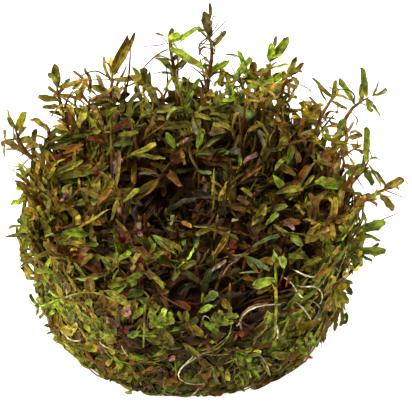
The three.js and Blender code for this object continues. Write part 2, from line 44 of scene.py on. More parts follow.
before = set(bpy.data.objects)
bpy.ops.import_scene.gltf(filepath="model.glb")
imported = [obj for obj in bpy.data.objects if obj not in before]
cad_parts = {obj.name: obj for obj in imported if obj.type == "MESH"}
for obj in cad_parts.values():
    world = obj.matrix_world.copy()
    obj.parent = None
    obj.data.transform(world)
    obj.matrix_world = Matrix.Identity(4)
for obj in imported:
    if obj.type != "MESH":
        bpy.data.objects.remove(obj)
cad_low, cad_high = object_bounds()
BOX_LOW = np.array(cad_low) / MM
BOX_HIGH = np.array(cad_high) / MM

# The cup's wall, which the outer growth was pressed against, as radius against height
WALL_HEIGHTS = [0, 2.5, 7, 13, 20, 27, 36, 62]
WALL_RADII = [35.4, 36.6, 37.9, 38.9, 39.5, 40, 41, 52]
BULGE = 2.4  # how far the wall stands out at its right front, where the cup gave way
BULGE_TURN = math.radians(-38)
DENT = 2.3  # how far its left side stands in above the foot
DENT_HEIGHTS = ([6, 16, 40, 50], [0, 1, 1, 0])  # heights, and the share of that at each
# The old tangle inside, as radius and height, from under the foot round to the middle of its top
CORE_OUTLINE = [
    (0, 1), (34.8, 1), (36.2, 3.5), (37.2, 8), (37.8, 13), (37.6, 18), (35.4, 21.5), (30.5, 24),
    (25, 27.4), (17, 29.2), (8, 28.8), (0, 28.4),
]
CORE_SHOULDER = 6  # where that list turns to its top
CORE_LEAN = 3  # how much higher its top is at the front than at its middle
BACK_SWELL = (4, -4, 12)  # its swell behind the hollow, and the depths y where that starts and is full
CANOPY_HEIGHT = 34.5  # where most shoots end
CANOPY_RISE = 8  # how much higher they end at the back
CANOPY_HOLLOW = 9  # and how much lower in the hollow
HOLLOW = (-5, 4)  # middle of the dark gap in the canopy
HOLLOW_SIZE = (14, 8.5)  # how far it spreads to the sides and in depth
HOLLOW_DEPTH = 13.5

VIEW_TILT = math.radians(45)  # the photo looks down at the clump by this angle
VIEW_WIDTH = 103.0  # how much the photo's width spans at the clump's middle
VIEW_MIDDLE = 12.0  # how far in front of the foot's centre that is, along the line of sight
LENS = 200.0
SENSOR = 36.0
IMAGE_SIZE = (412, 408)
PICTURE_FOOT = (185, 291)  # where the foot's centre lies in the photo, in pixels

RIGHT = np.array([1.0, 0.0, 0.0])
UP = np.array([0.0, math.sin(VIEW_TILT), math.cos(VIEW_TILT)])
TOWARDS = np.array([0.0, -math.cos(VIEW_TILT), math.sin(VIEW_TILT)])
GOLDEN = math.pi * (3 - math.sqrt(5))  # a share of a turn that spreads places evenly
EVEN = (0.754877666, 0.569840291)  # shares of a turn and of a height that together do so on a wall
PIXEL = VIEW_WIDTH / IMAGE_SIZE[0]  # how much one pixel of the photo spans
# The photo's middle, right of and up from the foot's centre, and how far off the camera stands
MIDDLE_PIXELS = (IMAGE_SIZE[0] / 2 - PICTURE_FOOT[0], PICTURE_FOOT[1] - IMAGE_SIZE[1] / 2)
PICTURE_MIDDLE = np.array(MIDDLE_PIXELS) * PIXEL
AWAY = VIEW_WIDTH * LENS / SENSOR

# Shares of a leaf's length at which it is shaped, close together at its blunt tip
LEAF_STATIONS = np.array([0, 0.1, 0.28, 0.48, 0.68, 0.84, 0.95, 1])
STEM_STATIONS = 12
# Slack is how far inside the wall growth is held. Growth that nothing holds has the first value, and a
# slack over the second is a held one.
FREE = -99.0
HELD = -50
GROUND = 0.35  # held growth stays at least this high
LAST_PAIR = 0.985  # the share of a stem at which its top pair of leaves grows
WALL_TOP = 27  # the height up to which growth lies flat on the wall
BODY_SIDES = 120


def linear(hex_colour):
    """An sRGB hex value as three linear numbers."""
    parts = [int(hex_colour[i : i + 2], 16) / 255 for i in (1, 3, 5)]
    return np.array([c / 12.92 if c <= 0.04045 else ((c + 0.055) / 1.055) ** 2.4 for c in parts])


LIME = linear("#95a634")
FRESH = linear("#80971e")
GREEN = linear("#697812")
SAGE = linear("#667832")
OLIVE = linear("#826f12")
KHAKI = linear("#a49b32")
MOSS = linear("#48480e")
OCHRE = linear("#8f6020")
CANE = linear("#86682a")
BROWN = linear("#5c350e")
RUST = linear("#8c421c")
RED = linear("#94422e")
PINK = linear("#bd8674")
PALE = linear("#ddd3a0")
UMBER = linear("#1c1007")
STRAW = linear("#94853a")
HAY = linear("#848f34")
TAN = linear("#8e6238")
GREY = linear("#827b54")
PALE_EDGE_AND_HIGHLIGHT = linear("#4a3a2c")  # what a leaf's thin margin and its midrib add to its colour: partly paler tissue, partly painted highlight
PAPER = linear("#dadada")
WHITE = linear("#ffffff")

# What a shoot's leaves look like when young and when old, and its stem
FAMILIES = {
    "green": (FRESH, GREEN, CANE),
    "olive": (GREEN, OLIVE, CANE),
    "bright": (LIME, FRESH, FRESH),
    "bronze": (OLIVE, OCHRE, CANE),
    "dark": (OLIVE, MOSS, BROWN),
    "red": (RUST, BROWN, RUST),
    "khaki": (KHAKI, OLIVE, CANE),
}
# How much of the clump each makes up, in the order in which they lie beside each other
FAMILY_SHARES = {
    "bright": 0.05, "green": 0.28, "khaki": 0.12, "olive": 0.24, "bronze": 0.15, "red": 0.04, "dark": 0.12,
}
PAINTED_LIGHT_WASHES = (STRAW, HAY, STRAW, TAN)  # what growth with the most painted light fades to
# Painted light and shade, by how far out from the middle, how high and how far to the right growth stands
PAINTED_LIGHT_OUT = ([8, 22, 30, 38], [0.68, 0.82, 1, 1.1])
PAINTED_LIGHT_UP = ([12, 27, 34, 42, 54], [0.66, 0.84, 1.65, 2.8, 3.1])
PAINTED_LIGHT_ACROSS = ([-36, -14, 4, 24, 40], [2.1, 1.3, 0.97, 1.12, 1.55])


def seen(right, up, depth):
    """The place that the photo shows that far right of and up from the foot's centre, at a depth y."""
    return np.array([right, depth, (up - depth * math.sin(VIEW_TILT)) / math.cos(VIEW_TILT)])


def true_size(towards):
    """How much smaller things are than the photo shows them, at a distance towards the camera."""
    return 1 + (VIEW_MIDDLE - towards) / AWAY


def in_picture(points):
    """Where the photo shows points: how far right of and up from the foot's centre."""
    flat = np.stack([points[..., 0], points @ UP], axis=-1)
    return PICTURE_MIDDLE + (flat - PICTURE_MIDDLE) / true_size(points @ TOWARDS)[..., None]


def smooth_step(value, low, high):
    share = min(1, max(0, (value - low) / (high - low)))
    return share * share * (3 - 2 * share)


def unit(vectors):
    return vectors / np.maximum(np.linalg.norm(vectors, axis=-1, keepdims=True), 1e-9)


def from_hollow(x, y):
    """How far a place lies from the hollow's middle, with 1 at the hollow's edge."""
    return math.hypot((x - HOLLOW[0]) / HOLLOW_SIZE[0], (y - HOLLOW[1]) / HOLLOW_SIZE[1])


def core_lift(x, y, height):
    """How far a place in the old tangle is raised: its lean and its swell at the back, less the hollow."""
    swell, start, full = BACK_SWELL
    swell *= smooth_step(y, start, full)
    top = (swell - HOLLOW_DEPTH * math.exp(-(from_hollow(x, y) ** 2))) * smooth_step(height, 21, 25)
    return -y / WALL_RADII[4] * CORE_LEAN * smooth_step(height, 8, 20) + top


def core_top(x, y):
    """The height of the old tangle's top at a place."""
    radii, heights = zip(*CORE_OUTLINE[: CORE_SHOULDER - 1 : -1])
    height = float(np.interp(math.hypot(x, y), radii, heights))
    return height + core_lift(x, y, height)


def wall_radius(height, turn):
    """The cup wall's radius at a height and a turn round the clump."""
    bulge = BULGE * np.exp(-(((turn - BULGE_TURN + math.pi) % (2 * math.pi) - math.pi) / 0.5) ** 2)
    dent = DENT * np.exp(-((turn % (2 * math.pi) - math.pi) / 0.8) ** 2)
    return np.interp(height, WALL_HEIGHTS, WALL_RADII) + bulge - dent * np.interp(height, *DENT_HEIGHTS)


# Where the photo shows the growth dark and open: [right, up, half width, half height] in the picture
GAPS = np.array([
    [-17.8, 13.2, 2.8, 3.4], [-12.2, 17, 2.2, 2.2], [-9.5, 12, 2, 2], [-7.5, 22.5, 5.5, 4.5],
    [1, 21.8, 7, 4.6], [6, 18.8, 3.2, 3], [-11.5, 30.5, 2.2, 1.6], [-6.2, 35, 2, 1.6], [7.5, 37, 2.4, 2],
    [10, 28.2, 2.6, 2], [13, 18, 2.4, 3], [17, 25.5, 2.6, 2], [20.5, 32.5, 2, 1.8], [21.8, 26.5, 2, 2],
    [27.2, 18, 3, 3.2], [24, 11.8, 2.4, 2.2], [19, 9.5, 2.2, 2.2], [6.8, 10.8, 2, 2], [2, 1, 3.8, 3.8],
    [10.4, 2.4, 2.2, 2], [13.2, -2.5, 3, 3.8], [14.2, -10.5, 3, 3], [26.5, 1.8, 2.4, 2.2],
    [-2.5, -14.3, 2, 2.2], [-12.2, -14, 2, 2.4], [-13.2, -8, 1.8, 1.6], [3, -12, 1.8, 1.8],
    [6, -16.5, 1.8, 1.6], [1, -19.2, 1.8, 1.4], [-20.8, -16.2, 1.6, 1.4], [16.2, 36, 2, 2],
    [-8.2, -9.5, 1.2, 1], [-8.8, -13.8, 1, 1.2], [-6.2, -12.2, 1.4, 1.2], [-3.2, -9.8, 1.2, 1],
    [0.2, -10.8, 1, 1.2], [-4.8, -18.8, 1, 1.4], [1.5, -6, 1.8, 1.2], [9.5, -9.8, 1.6, 1.6],
    [16, -6.8, 1.6, 2.4], [15.5, 0.2, 2, 1.5], [20, -0.2, 1.6, 1.2], [24.2, -1.8, 1.2, 1],
    [-8, 0.5, 3.6, 3.4], [-0.5, 0, 4, 2.6], [9, 0.6, 4, 3], [14.5, 2.5, 2.6, 2], [-27, 3.8, 1.3, 1.3],
    [-16.2, 4, 2, 1.6], [29.8, 30.2, 2, 2], [-34.2, 26.8, 2, 2], [6, 41.2, 1.8, 2], [-10, 38, 1.8, 1.8],
    [-16.2, 47.5, 1.4, 1.8],
])
# And where it stands out: [right, up, reach, how much brighter] with the family of leaves that it is
STANDOUTS = np.array([
    [-30.8, 4.5, 3, 0.5], [-30, -1.8, 3, 0.7], [-26.8, 15.5, 3, 0.6], [-22, 21.5, 3, 0.5],
    [-24, -7, 3, 0.5], [-16, -2.5, 3, 0.5], [-16.8, -13.2, 3, 0.5], [-11.5, -1, 2.5, 0.5],
    [-10.2, 5.8, 3, 0.6], [-10, -11.2, 2.5, 0.4], [-5.5, -7.2, 3, 0.8], [-4.2, 11.5, 2.5, 0.6],
    [1.8, 13, 3, 0.7], [6.2, -4.2, 3.5, 1], [9.8, -21.2, 3.5, 0.7], [18.5, 18.2, 3, 0.8],
    [22, 5.2, 3.2, 0.9], [22.2, -8, 3, 0.8], [22.5, -11.8, 2.5, 0.7], [30.5, 3, 3, 0.5],
    [34, 0.8, 2.5, 0.6], [-18, 30, 3.5, 0.5], [-31, 25.5, 3, 0.5], [-27.5, 32, 3, 0.3], [2.4, 37, 3, 0.3],
    [-21.2, 40.8, 4, 0.3], [8.8, 5.8, 2.5, 0.3], [12, 9.5, 3, 0.3], [-13.8, 13, 2, 0.6],
    [-17, 19.5, 2.5, 0.3], [26.4, 33, 3, 0.4], [26.2, 24.8, 2.5, 0.4], [-12, -18, 3, 0.2],
    [47, 15, 5, 0.4], [-33.5, 34.5, 4, 0.9], [-31, 29, 4, 0.8], [-24, 39, 4, 0.7], [9, 17.5, 3.5, 0.6],
    [27, -5, 4, 0.6], [33, -5, 4, 0.6], [22, -16, 3.5, 0.7], [-15, 56, 5, 0.8], [17, -15, 4, 0.7],
    [5, -22, 4, 0.6], [-29, -13, 4, 0.5], [30, -8, 4, 0.5], [23, -4.5, 3, 0.4], [-2, -23, 3.5, 0.5],
    [25, 1.5, 4, 0.1], [17, -19, 4, 0.5], [-33, -9, 4, 0.4], [-37, 34, 4, 0.5], [-35, 20, 4, 0.3],
    [-18, 62, 5, 0.3],
])
STANDOUT_FAMILIES = [
    "green", "bright", "green", "khaki", "khaki", "khaki", "khaki", "green", "khaki", "green", "bright",
    "green", "green", "bright", "green", "green", "bright", "khaki", "green", "khaki", "khaki", "bronze",
    "khaki", "bronze", "green", "bronze", "red", "red", "red", "bronze", "green", "green", "green",
    "bright", "bronze", "olive", "olive", "khaki", "green", "khaki", "green", "olive", "khaki", "green",
    "khaki", "khaki", "green", "khaki", "red", "khaki", "khaki", "olive", "green", "bronze",
]


def near_each(table, place):
    """How near a place is to each row of a table of places in the picture: 1 there, and nothing far off."""
    reach = table[:, 2:4] if table is GAPS else table[:, 2:3]
    away = (in_picture(place) - table[:, :2]) / reach
    return np.exp(-(away**2).sum(axis=1))


def in_gap(place, margin):
    """Whether the photo shows a place inside one of the dark gaps."""
    return near_each(GAPS, place).max() > math.exp(-margin)


def how_far_behind(y):
    """0 in the front half and 1 at the back."""
    return min(1, max(0, (y - 4) / 20))


def canopy_dip(x, y):
    """How much lower the shoots end in and near the hollow."""
    return CANOPY_HOLLOW * math.exp(-((from_hollow(x, y) / 1.1) ** 2))


def canopy_top(x, y):
    """The height that most growth reaches over a place."""
    return CANOPY_HEIGHT + CANOPY_RISE * how_far_behind(y) - canopy_dip(x, y)


def front_place(right, up):
    """The first place on the clump's outside that the photo's line of sight meets."""
    for depth in np.arange(-60, 60, 0.25):
        place = seen(right, up, depth)
        shown = PICTURE_MIDDLE + (np.array([right, up]) - PICTURE_MIDDLE) * true_size(place @ TOWARDS)
        place = seen(*shown, depth)
        inside = math.hypot(place[0], place[1]) < wall_radius(place[2], math.atan2(place[1], place[0]))
        if inside and 0 < place[2] < canopy_top(place[0], place[1]):
            return place
    return seen(right, up, 0)


WALL_TOP_PIXEL = 298  # below this line the photo shows the front wall
# Leaves that stand out inside the clump, by where the photo shows them, in its pixels:
# (x and y of the base, x and y of the tip, width, colour, how light)
SEEN_LEAVES = [
    (35, 197, 57, 168, 6, OLIVE, 1.3), (50, 179, 84, 161, 5, KHAKI, 1.2),
    (40, 151, 72, 143, 6, SAGE, 1.4), (60, 181, 96, 173, 6, MOSS, 2.2),
    (80, 190, 106, 202, 7, OLIVE, 1.3), (44, 161, 80, 152, 6, RUST, 0.8),
    (108, 198, 92, 184, 6, OLIVE, 1.3), (46, 142, 92, 134, 5, GREEN, 1.4),
    (98, 209, 112, 190, 6, OCHRE, 1.1), (113, 185, 117, 153, 8, PINK, 0.5),
    (128, 158, 157, 145, 5, KHAKI, 1.1), (130, 157, 166, 160, 4, KHAKI, 0.7),
    (52, 135, 66, 130, 7, FRESH, 1.2), (52, 149, 85, 146, 5, OCHRE, 1), (60, 156, 84, 150, 4, OCHRE, 1.1),
    (54, 141, 74, 138, 4, MOSS, 1.2), (74, 139, 102, 132, 4, KHAKI, 0.8),
    (88, 141, 105, 141, 6, RUST, 0.9), (57, 178, 92, 166, 6, OLIVE, 1.1),
    (74, 169, 101, 171, 5, OLIVE, 0.8), (91, 187, 104, 171, 4, RED, 0.7),
    (102, 202, 113, 179, 9, OLIVE, 1.4), (108, 186, 111, 176, 5, KHAKI, 1.5),
    (114, 147, 135, 142, 6, SAGE, 1.1), (115, 131, 131, 122, 5, RED, 0.7),
    (119, 137, 139, 134, 7, KHAKI, 0.8), (107, 119, 118, 109, 6, GREEN, 1.1),
    (80, 130, 87, 107, 8, KHAKI, 1), (140, 175, 157, 175, 3, GREY, 0.9),
    (166, 134, 174, 151, 8, FRESH, 1.3), (78, 205, 99, 202, 7, SAGE, 1.2),
    (53, 216, 45, 208, 4, LIME, 1.3), (53, 214, 70, 208, 3, KHAKI, 1.1),
    (77, 229, 110, 210, 4, KHAKI, 1.3), (62, 234, 90, 233, 8, FRESH, 1.15),
    (60, 244, 82, 243, 4, KHAKI, 1), (80, 246, 99, 244, 4, GREEN, 1.1),
    (102, 256, 113, 271, 6, FRESH, 1.3), (75, 262, 92, 280, 3, KHAKI, 1.1),
    (76, 279, 98, 277, 4, LIME, 1.2), (128, 210, 153, 230, 5, KHAKI, 1.1),
    (117, 219, 131, 239, 5, OLIVE, 1.2), (118, 207, 126, 219, 6, PINK, 0.7),
    (152, 235, 178, 258, 8, FRESH, 1.2), (171, 226, 173, 216, 4, LIME, 1.2),
    (119, 261, 131, 253, 6, LIME, 1.3), (105, 277, 118, 265, 4, OCHRE, 1.2),
    (61, 276, 63, 262, 6, OCHRE, 0.9), (51, 290, 53, 263, 7, LIME, 0.9),
    (140, 263, 153, 279, 7, OCHRE, 1.3), (150, 270, 166, 290, 4, KHAKI, 1.1),
    (197, 151, 203, 130, 8, FRESH, 1.3), (192, 121, 198, 137, 5, GREY, 1.1),
    (231, 108, 252, 120, 10, SAGE, 1.1), (246, 134, 263, 126, 6, OLIVE, 1.2),
    (257, 130, 263, 146, 4, GREY, 0.6), (196, 156, 229, 153, 7, SAGE, 1.1),
    (229, 154, 239, 150, 7, GREY, 0.7), (242, 165, 257, 155, 6, PINK, 0.6),
    (236, 186, 262, 166, 4, OCHRE, 1.2), (196, 172, 212, 175, 4, SAGE, 1.2),
    (205, 200, 206, 184, 4, PINK, 0.7), (286, 166, 292, 144, 7, GREEN, 1.2),
    (300, 131, 302, 119, 5, RED, 0.9), (313, 182, 340, 188, 11, FRESH, 1.2),
    (275, 194, 302, 189, 7, KHAKI, 1.1), (302, 189, 313, 176, 4, KHAKI, 1.2),
    (254, 200, 240, 189, 4, OLIVE, 1.1), (316, 160, 332, 168, 5, KHAKI, 1),
    (181, 222, 191, 228, 6, OCHRE, 1.4), (193, 226, 237, 240, 8, KHAKI, 0.9),
    (183, 233, 184, 246, 5, SAGE, 1.3), (197, 232, 195, 248, 6, SAGE, 1.5),
    (213, 259, 225, 239, 4, OCHRE, 1.5), (230, 257, 231, 244, 7, RED, 1.1),
    (210, 272, 225, 260, 4, PALE, 0.6), (228, 262, 241, 255, 4, PALE, 0.5),
    # The short pale one from 231, 221 is a painted glint
    (226, 272, 237, 281, 3, MOSS, 1), (231, 221, 238, 220, 3, PALE, 1.2),
    (251, 226, 265, 207, 8, KHAKI, 1.1), (262, 213, 286, 206, 6, LIME, 0.9),
    (265, 226, 277, 214, 5, FRESH, 1.1), (251, 247, 278, 237, 6, SAGE, 0.9),
    (255, 237, 281, 233, 3, BROWN, 0.9), (243, 255, 268, 270, 6, SAGE, 1),
    (273, 262, 273, 250, 7, LIME, 1.5), (283, 269, 280, 257, 7, LIME, 1.3),
    (275, 279, 253, 284, 9, LIME, 1.1), (308, 216, 323, 196, 9, OCHRE, 0.9),
    (289, 233, 299, 246, 8, GREEN, 1.4), (288, 264, 301, 251, 8, OLIVE, 1),
    (300, 268, 319, 258, 6, KHAKI, 0.9), (318, 262, 339, 254, 4, GREY, 0.5),
    (311, 281, 328, 268, 6, OCHRE, 1.4), (328, 256, 346, 252, 4, OCHRE, 1.3),
    (283, 221, 293, 230, 4, PINK, 0.5),
    # pressed on the front wall, from the left to the right
    (70, 292, 98, 289, 3, KHAKI, 1.2), (104, 290, 131, 304, 6, KHAKI, 1),
    (46, 303, 67, 300, 8, FRESH, 1.1), (84, 311, 99, 326, 4, LIME, 0.9), (76, 314, 85, 330, 4, PALE, 0.5),
    (109, 317, 119, 326, 5, PINK, 0.7), (122, 329, 132, 326, 4, PINK, 0.6),
    (120, 310, 130, 313, 6, PINK, 0.7), (158, 323, 173, 314, 9, LIME, 1.2),
    (141, 330, 129, 336, 6, FRESH, 1), (84, 345, 98, 350, 7, FRESH, 1.2),
    (99, 342, 107, 351, 6, PINK, 0.45), (70, 339, 86, 352, 4, KHAKI, 0.9),
    (82, 335, 99, 338, 3, GREY, 0.7), (142, 371, 165, 365, 8, OCHRE, 1.2),
    (151, 381, 166, 374, 5, GREEN, 1.1), (61, 327, 46, 325, 4, BROWN, 1.1),
    (96, 368, 82, 361, 4, MOSS, 0.9), (133, 383, 147, 384, 6, UMBER, 1),
    (204, 301, 216, 293, 9, SAGE, 1.3), (198, 311, 216, 305, 8, LIME, 1.1),
    (215, 311, 222, 323, 9, LIME, 1.3), (221, 298, 229, 306, 8, OLIVE, 1.1),
    (202, 319, 217, 334, 6, FRESH, 1.1), (205, 340, 213, 344, 5, OCHRE, 1.5),
    (233, 347, 242, 355, 7, LIME, 1.1), (261, 342, 273, 326, 8, GREEN, 1.1),
    (267, 323, 277, 311, 8, LIME, 0.9), (276, 316, 287, 310, 3, PALE, 0.6),
    (280, 312, 301, 308, 3, RUST, 1.2), (313, 321, 322, 300, 5, PALE, 0.5),
    (319, 321, 326, 304, 4, KHAKI, 1), (284, 333, 313, 321, 8, OLIVE, 1.2),
    (288, 346, 309, 337, 8, KHAKI, 0.8), (268, 353, 288, 356, 8, KHAKI, 0.8),
    (243, 371, 253, 376, 5, GREY, 0.7), (249, 359, 257, 371, 8, LIME, 0.8),
    (234, 371, 241, 385, 8, LIME, 1), (221, 369, 223, 380, 4, TAN, 0.8),
    (226, 366, 228, 380, 5, KHAKI, 1), (212, 365, 217, 381, 4, SAGE, 1.4),
    (189, 379, 213, 376, 6, SAGE, 1), (199, 371, 215, 365, 4, SAGE, 1.2),
    (255, 368, 259, 379, 5, OLIVE, 1), (58, 312, 66, 330, 6, OLIVE, 1.2),
    (146, 337, 161, 342, 5, KHAKI, 0.8), (182, 332, 187, 310, 7, KHAKI, 0.75),
    (187, 322, 203, 335, 8, OLIVE, 1.1), (182, 341, 198, 356, 7, KHAKI, 0.7),
    (160, 326, 172, 344, 7, KHAKI, 0.7), (148, 318, 160, 304, 8, KHAKI, 0.7),
    (133, 318, 143, 308, 6, GREEN, 1.1), (168, 386, 186, 382, 7, OLIVE, 0.9),
    (204, 386, 220, 388, 6, OLIVE, 1), (176, 300, 190, 306, 5, RUST, 0.7),
    (150, 299, 168, 290, 5, OCHRE, 1), (128, 296, 143, 290, 8, SAGE, 1),
]
# Bare stems there: (radius in millimetres, colour, how light, the pixels that each passes from its foot)
SEEN_STEMS = [
    (0.6, CANE, 1, [[112, 180], [112, 150], [111, 122]]),
    (0.45, CANE, 0.8, [[150, 135], [152, 115], [154, 98]]),
    (0.7, BROWN, 1.2, [[209, 156], [208, 130], [207, 98]]),
    (0.5, CANE, 0.9, [[241, 152], [240, 130], [239, 108]]),
    (0.7, BROWN, 1, [[266, 166], [267, 145], [269, 124]]),
    (0.7, BROWN, 1.2, [[272, 164], [274, 140], [275, 118]]),
    (0.6, OLIVE, 1, [[279, 160], [281, 136], [282, 112]]),
    (0.5, KHAKI, 0.9, [[286, 172], [284, 140], [281, 104]]),
    (0.4, UMBER, 1, [[301, 168], [294, 146], [288, 124]]),
    (0.5, BROWN, 1, [[231, 196], [231, 176], [230, 158]]),
    (0.55, KHAKI, 1.1, [[211, 208], [213, 190], [214, 168]]),
    (0.35, KHAKI, 1.2, [[168, 238], [168, 222], [166, 207]]),
    (0.5, CANE, 0.8, [[137, 268], [134, 252], [131, 238]]),
    (0.55, MOSS, 1.5, [[224, 246], [225, 226], [225, 207]]),
    (0.5, CANE, 1, [[216, 288], [221, 274], [226, 261]]),
    (0.45, KHAKI, 1.3, [[312, 219], [303, 209], [306, 196]]),
    (0.6, FRESH, 1.3, [[276, 294], [276, 278], [274, 262]]),
    (0.5, CANE, 0.8, [[200, 172], [190, 160], [188, 140]]),
    (0.45, CANE, 1, [[90, 190], [92, 160], [90, 112]]),
    (0.45, CANE, 0.9, [[72, 190], [70, 165], [72, 140]]),
    (0.2, PALE, 0.6, [[180, 369], [193, 357], [210, 348], [224, 340], [235, 326]]),
    (0.2, KHAKI, 1, [[198, 351], [214, 354], [237, 352]]),
    (0.2, PALE, 0.8, [[203, 313], [210, 316], [213, 327]]),
    (0.3, PINK, 0.8, [[242, 332], [238, 319], [243, 309], [255, 303], [271, 302]]),
    (0.3, PALE, 0.7, [[252, 347], [255, 335], [263, 326], [271, 322]]),
    (0.24, KHAKI, 1.2, [[271, 336], [285, 340], [300, 338], [313, 330]]),
    (0.3, PALE, 0.8, [[255, 351], [262, 356], [267, 367], [270, 377]]),
    (0.2, PALE, 0.9, [[303, 282], [313, 283], [321, 289], [325, 300]]),
    (0.2, PALE, 0.8, [[305, 289], [314, 291], [320, 297], [322, 307]]),
    (0.2, PALE, 0.7, [[308, 299], [316, 303], [320, 311]]),
    (0.2, PALE, 0.8, [[121, 344], [126, 351], [131, 358]]),
    (0.26, OCHRE, 1.2, [[138, 360], [152, 361], [166, 358]]),
    (0.24, KHAKI, 1.2, [[196, 349], [203, 340], [208, 332]]),
]


def from_pixel(x, y):
    """How far right of and up from the foot's centre a pixel of the photo lies, in millimetres."""
    return (x - PICTURE_FOOT[0]) * PIXEL, (PICTURE_FOOT[1] - y) * PIXEL


SEEN_LINES = np.array([[*from_pixel(*row[:2]), *from_pixel(*row[2:4]), row[4] / 8] for row in SEEN_LEAVES])
SEEN_DEPTHS = np.array([front_place(*row[:2]) @ TOWARDS for row in SEEN_LINES])


def hides_seen_leaf(points):
    """Whether points of the growth would lie in front of one of those leaves."""
    flat = in_picture(points)[:, None]
    start, run = SEEN_LINES[:, 0:2], SEEN_LINES[:, 2:4] - SEEN_LINES[:, 0:2]
    share = np.clip(((flat - start) * run).sum(axis=2) / (run**2).sum(axis=1), 0, 1)
    away = np.linalg.norm(flat - start - share[..., None] * run, axis=2)
    is_near = away < SEEN_LINES[:, 4] + 0.7
    return bool((is_near & ((points @ TOWARDS)[:, None] > SEEN_DEPTHS - 0.5)).any())


def pressed(points, slack):
    """Points moved in to the cup's wall where they lie outside it, and up to the ground."""
    points = points.copy()
    out = np.hypot(points[..., 0], points[..., 1])
    most = wall_radius(points[..., 2], np.arctan2(points[..., 1], points[..., 0])) - slack
    points[..., :2] *= np.minimum(1, most / np.maximum(out, 1e-6))[..., None]
    points[..., 2] = np.maximum(points[..., 2], GROUND)
    return points


def smooth_line(points):
    """A rounded line of evenly spaced stations through a few points."""
    points = np.array(points, float)
    at = np.concatenate([[0], np.cumsum(np.linalg.norm(np.diff(points, axis=0), axis=1))])
    shares = np.linspace(0, at[-1], STEM_STATIONS)
    line = np.stack([np.interp(shares, at, points[:, axis]) for axis in range(3)], axis=1)
    for _ in range(2):
        line[1:-1] = (line[:-2] + 2 * line[1:-1] + line[2:]) / 4
    return line


def place_on(line, share):
    """A place on a line, with the way it runs there and the two ways square to that."""
    at = share * (len(line) - 1)
    i = min(int(at), len(line) - 2)
    along = unit(line[i + 1] - line[i])
    side = unit(np.cross(along, [0.0, 1.0, 0.15]))
    return line[i] + (line[i + 1] - line[i]) * (at - i), along, side, np.cross(along, side)


def spindle(sides, widths, fold=0.0, groove=0.0, keel=0.0):
    """A closed rod, or a blade where it has four sides.

    It comes as rows of each vertex's station, across, above and u, and as faces.
    """
    bm = bmesh.new()
    bmesh.ops.create_uvsphere(bm, u_segments=sides, v_segments=len(widths) - 1, radius=1)
    bmesh.ops.rotate(bm, verts=bm.verts, matrix=Matrix.Rotation(math.pi / 2, 3, "X"))
    bmesh.ops.recalc_face_normals(bm, faces=bm.faces)
    bmesh.ops.triangulate(bm, faces=bm.faces)
    rows = []
    for vert in bm.verts:
        station = round(math.acos(max(-1, min(1, -vert.co.y))) / math.pi * (len(widths) - 1))
        turn = math.atan2(vert.co.z, vert.co.x)
        across, above = math.cos(turn), math.sin(turn)
        if sides == 4:  # two raised edges, a sunk midrib above and a keel below
            above = fold if abs(across) > 0.5 else -groove if above > 0 else -keel
        half = 0 if station in (0, len(widths) - 1) else widths[station] / 2
        rows.append((station, across * half, above * half, across / 2 + 0.5))
    faces = np.array([[vert.index for vert in face.verts] for face in bm.faces])
    bm.free()
    return np.array(rows), faces


# Widths from base to tip, as shares of a leaf's greatest width
LEAF_SHAPES = {
    "lance": spindle(4, [0, 0.45, 0.82, 1, 0.98, 0.82, 0.5, 0], fold=0.5, keel=0.1),
    "spoon": spindle(4, [0, 0.3, 0.44, 0.64, 0.88, 1, 0.76, 0], fold=0.3, keel=0.14),
    "strap": spindle(4, [0, 0.55, 0.84, 0.97, 1, 0.97, 0.74, 0], fold=0.4, keel=0.12),
    "oval": spindle(4, [0, 0.55, 0.9, 1, 1, 0.92, 0.66, 0], fold=0.16, keel=0.12),
    "taper": spindle(4, [0, 0.9, 1, 0.84, 0.66, 0.5, 0.34, 0], fold=0.5, keel=0.14),
    "bud": spindle(4, [0, 0.6, 0.95, 1, 0.95, 0.8, 0.5, 0], groove=-0.9, keel=0.9),
    "thread": spindle(5, [0, 1, 1, 0.95, 0.9, 0.75, 0.5, 0]),
}
STEM_SHAPE = spindle(5, [0, 1, 1, 1, 0.98, 0.95, 0.9, 0.84, 0.77, 0.68, 0.5, 0])


def patch(place, size, other=0.0):
    """A number from 0 to 1 that wanders over the clump in patches of about that size."""
    return min(1, max(0, 0.5 + noise.noise(Vector(place) / size + Vector((other, 5.1, 2.7)))))


def painted_light_and_tone(place):
    """Painted light and shade over patches of tone: dark in the middle, front and gaps, light at the edges
    and top.
    """
    out = math.hypot(place[0], place[1] - 4)
    by_place = np.interp(out, *PAINTED_LIGHT_OUT)
    by_place *= np.interp(place[2], *PAINTED_LIGHT_UP)
    by_place *= np.interp(place[0], *PAINTED_LIGHT_ACROSS)
    # Painted shade over the front, about the middle
    by_place *= 1 - 0.34 * math.exp(-(((place[0] - 6) / 24) ** 2)) * smooth_step(-place[1], 8, 24)
    # Lighter where leaves stand out; painted shade on what still grows in the dark gaps
    standing_out = 0.6 * near_each(STANDOUTS, place) @ STANDOUTS[:, 3]
    by_picture = standing_out - 2.4 * min(1, near_each(GAPS, place).sum())
    return min(2.8, float(by_place) * (0.45 + 1.1 * patch(place, 6.5)) * math.exp(by_picture))


def most_painted_light(place):
    """The most light that may be painted on a leaf there: most at the top and at the left, where the growth
    is thin.
    """
    at_left = smooth_step(-place[0], 18, 28) * smooth_step(place[2], 22, 30)
    return 1.5 + 0.75 * max(smooth_step(place[2], 34, 44), 0.8 * at_left)


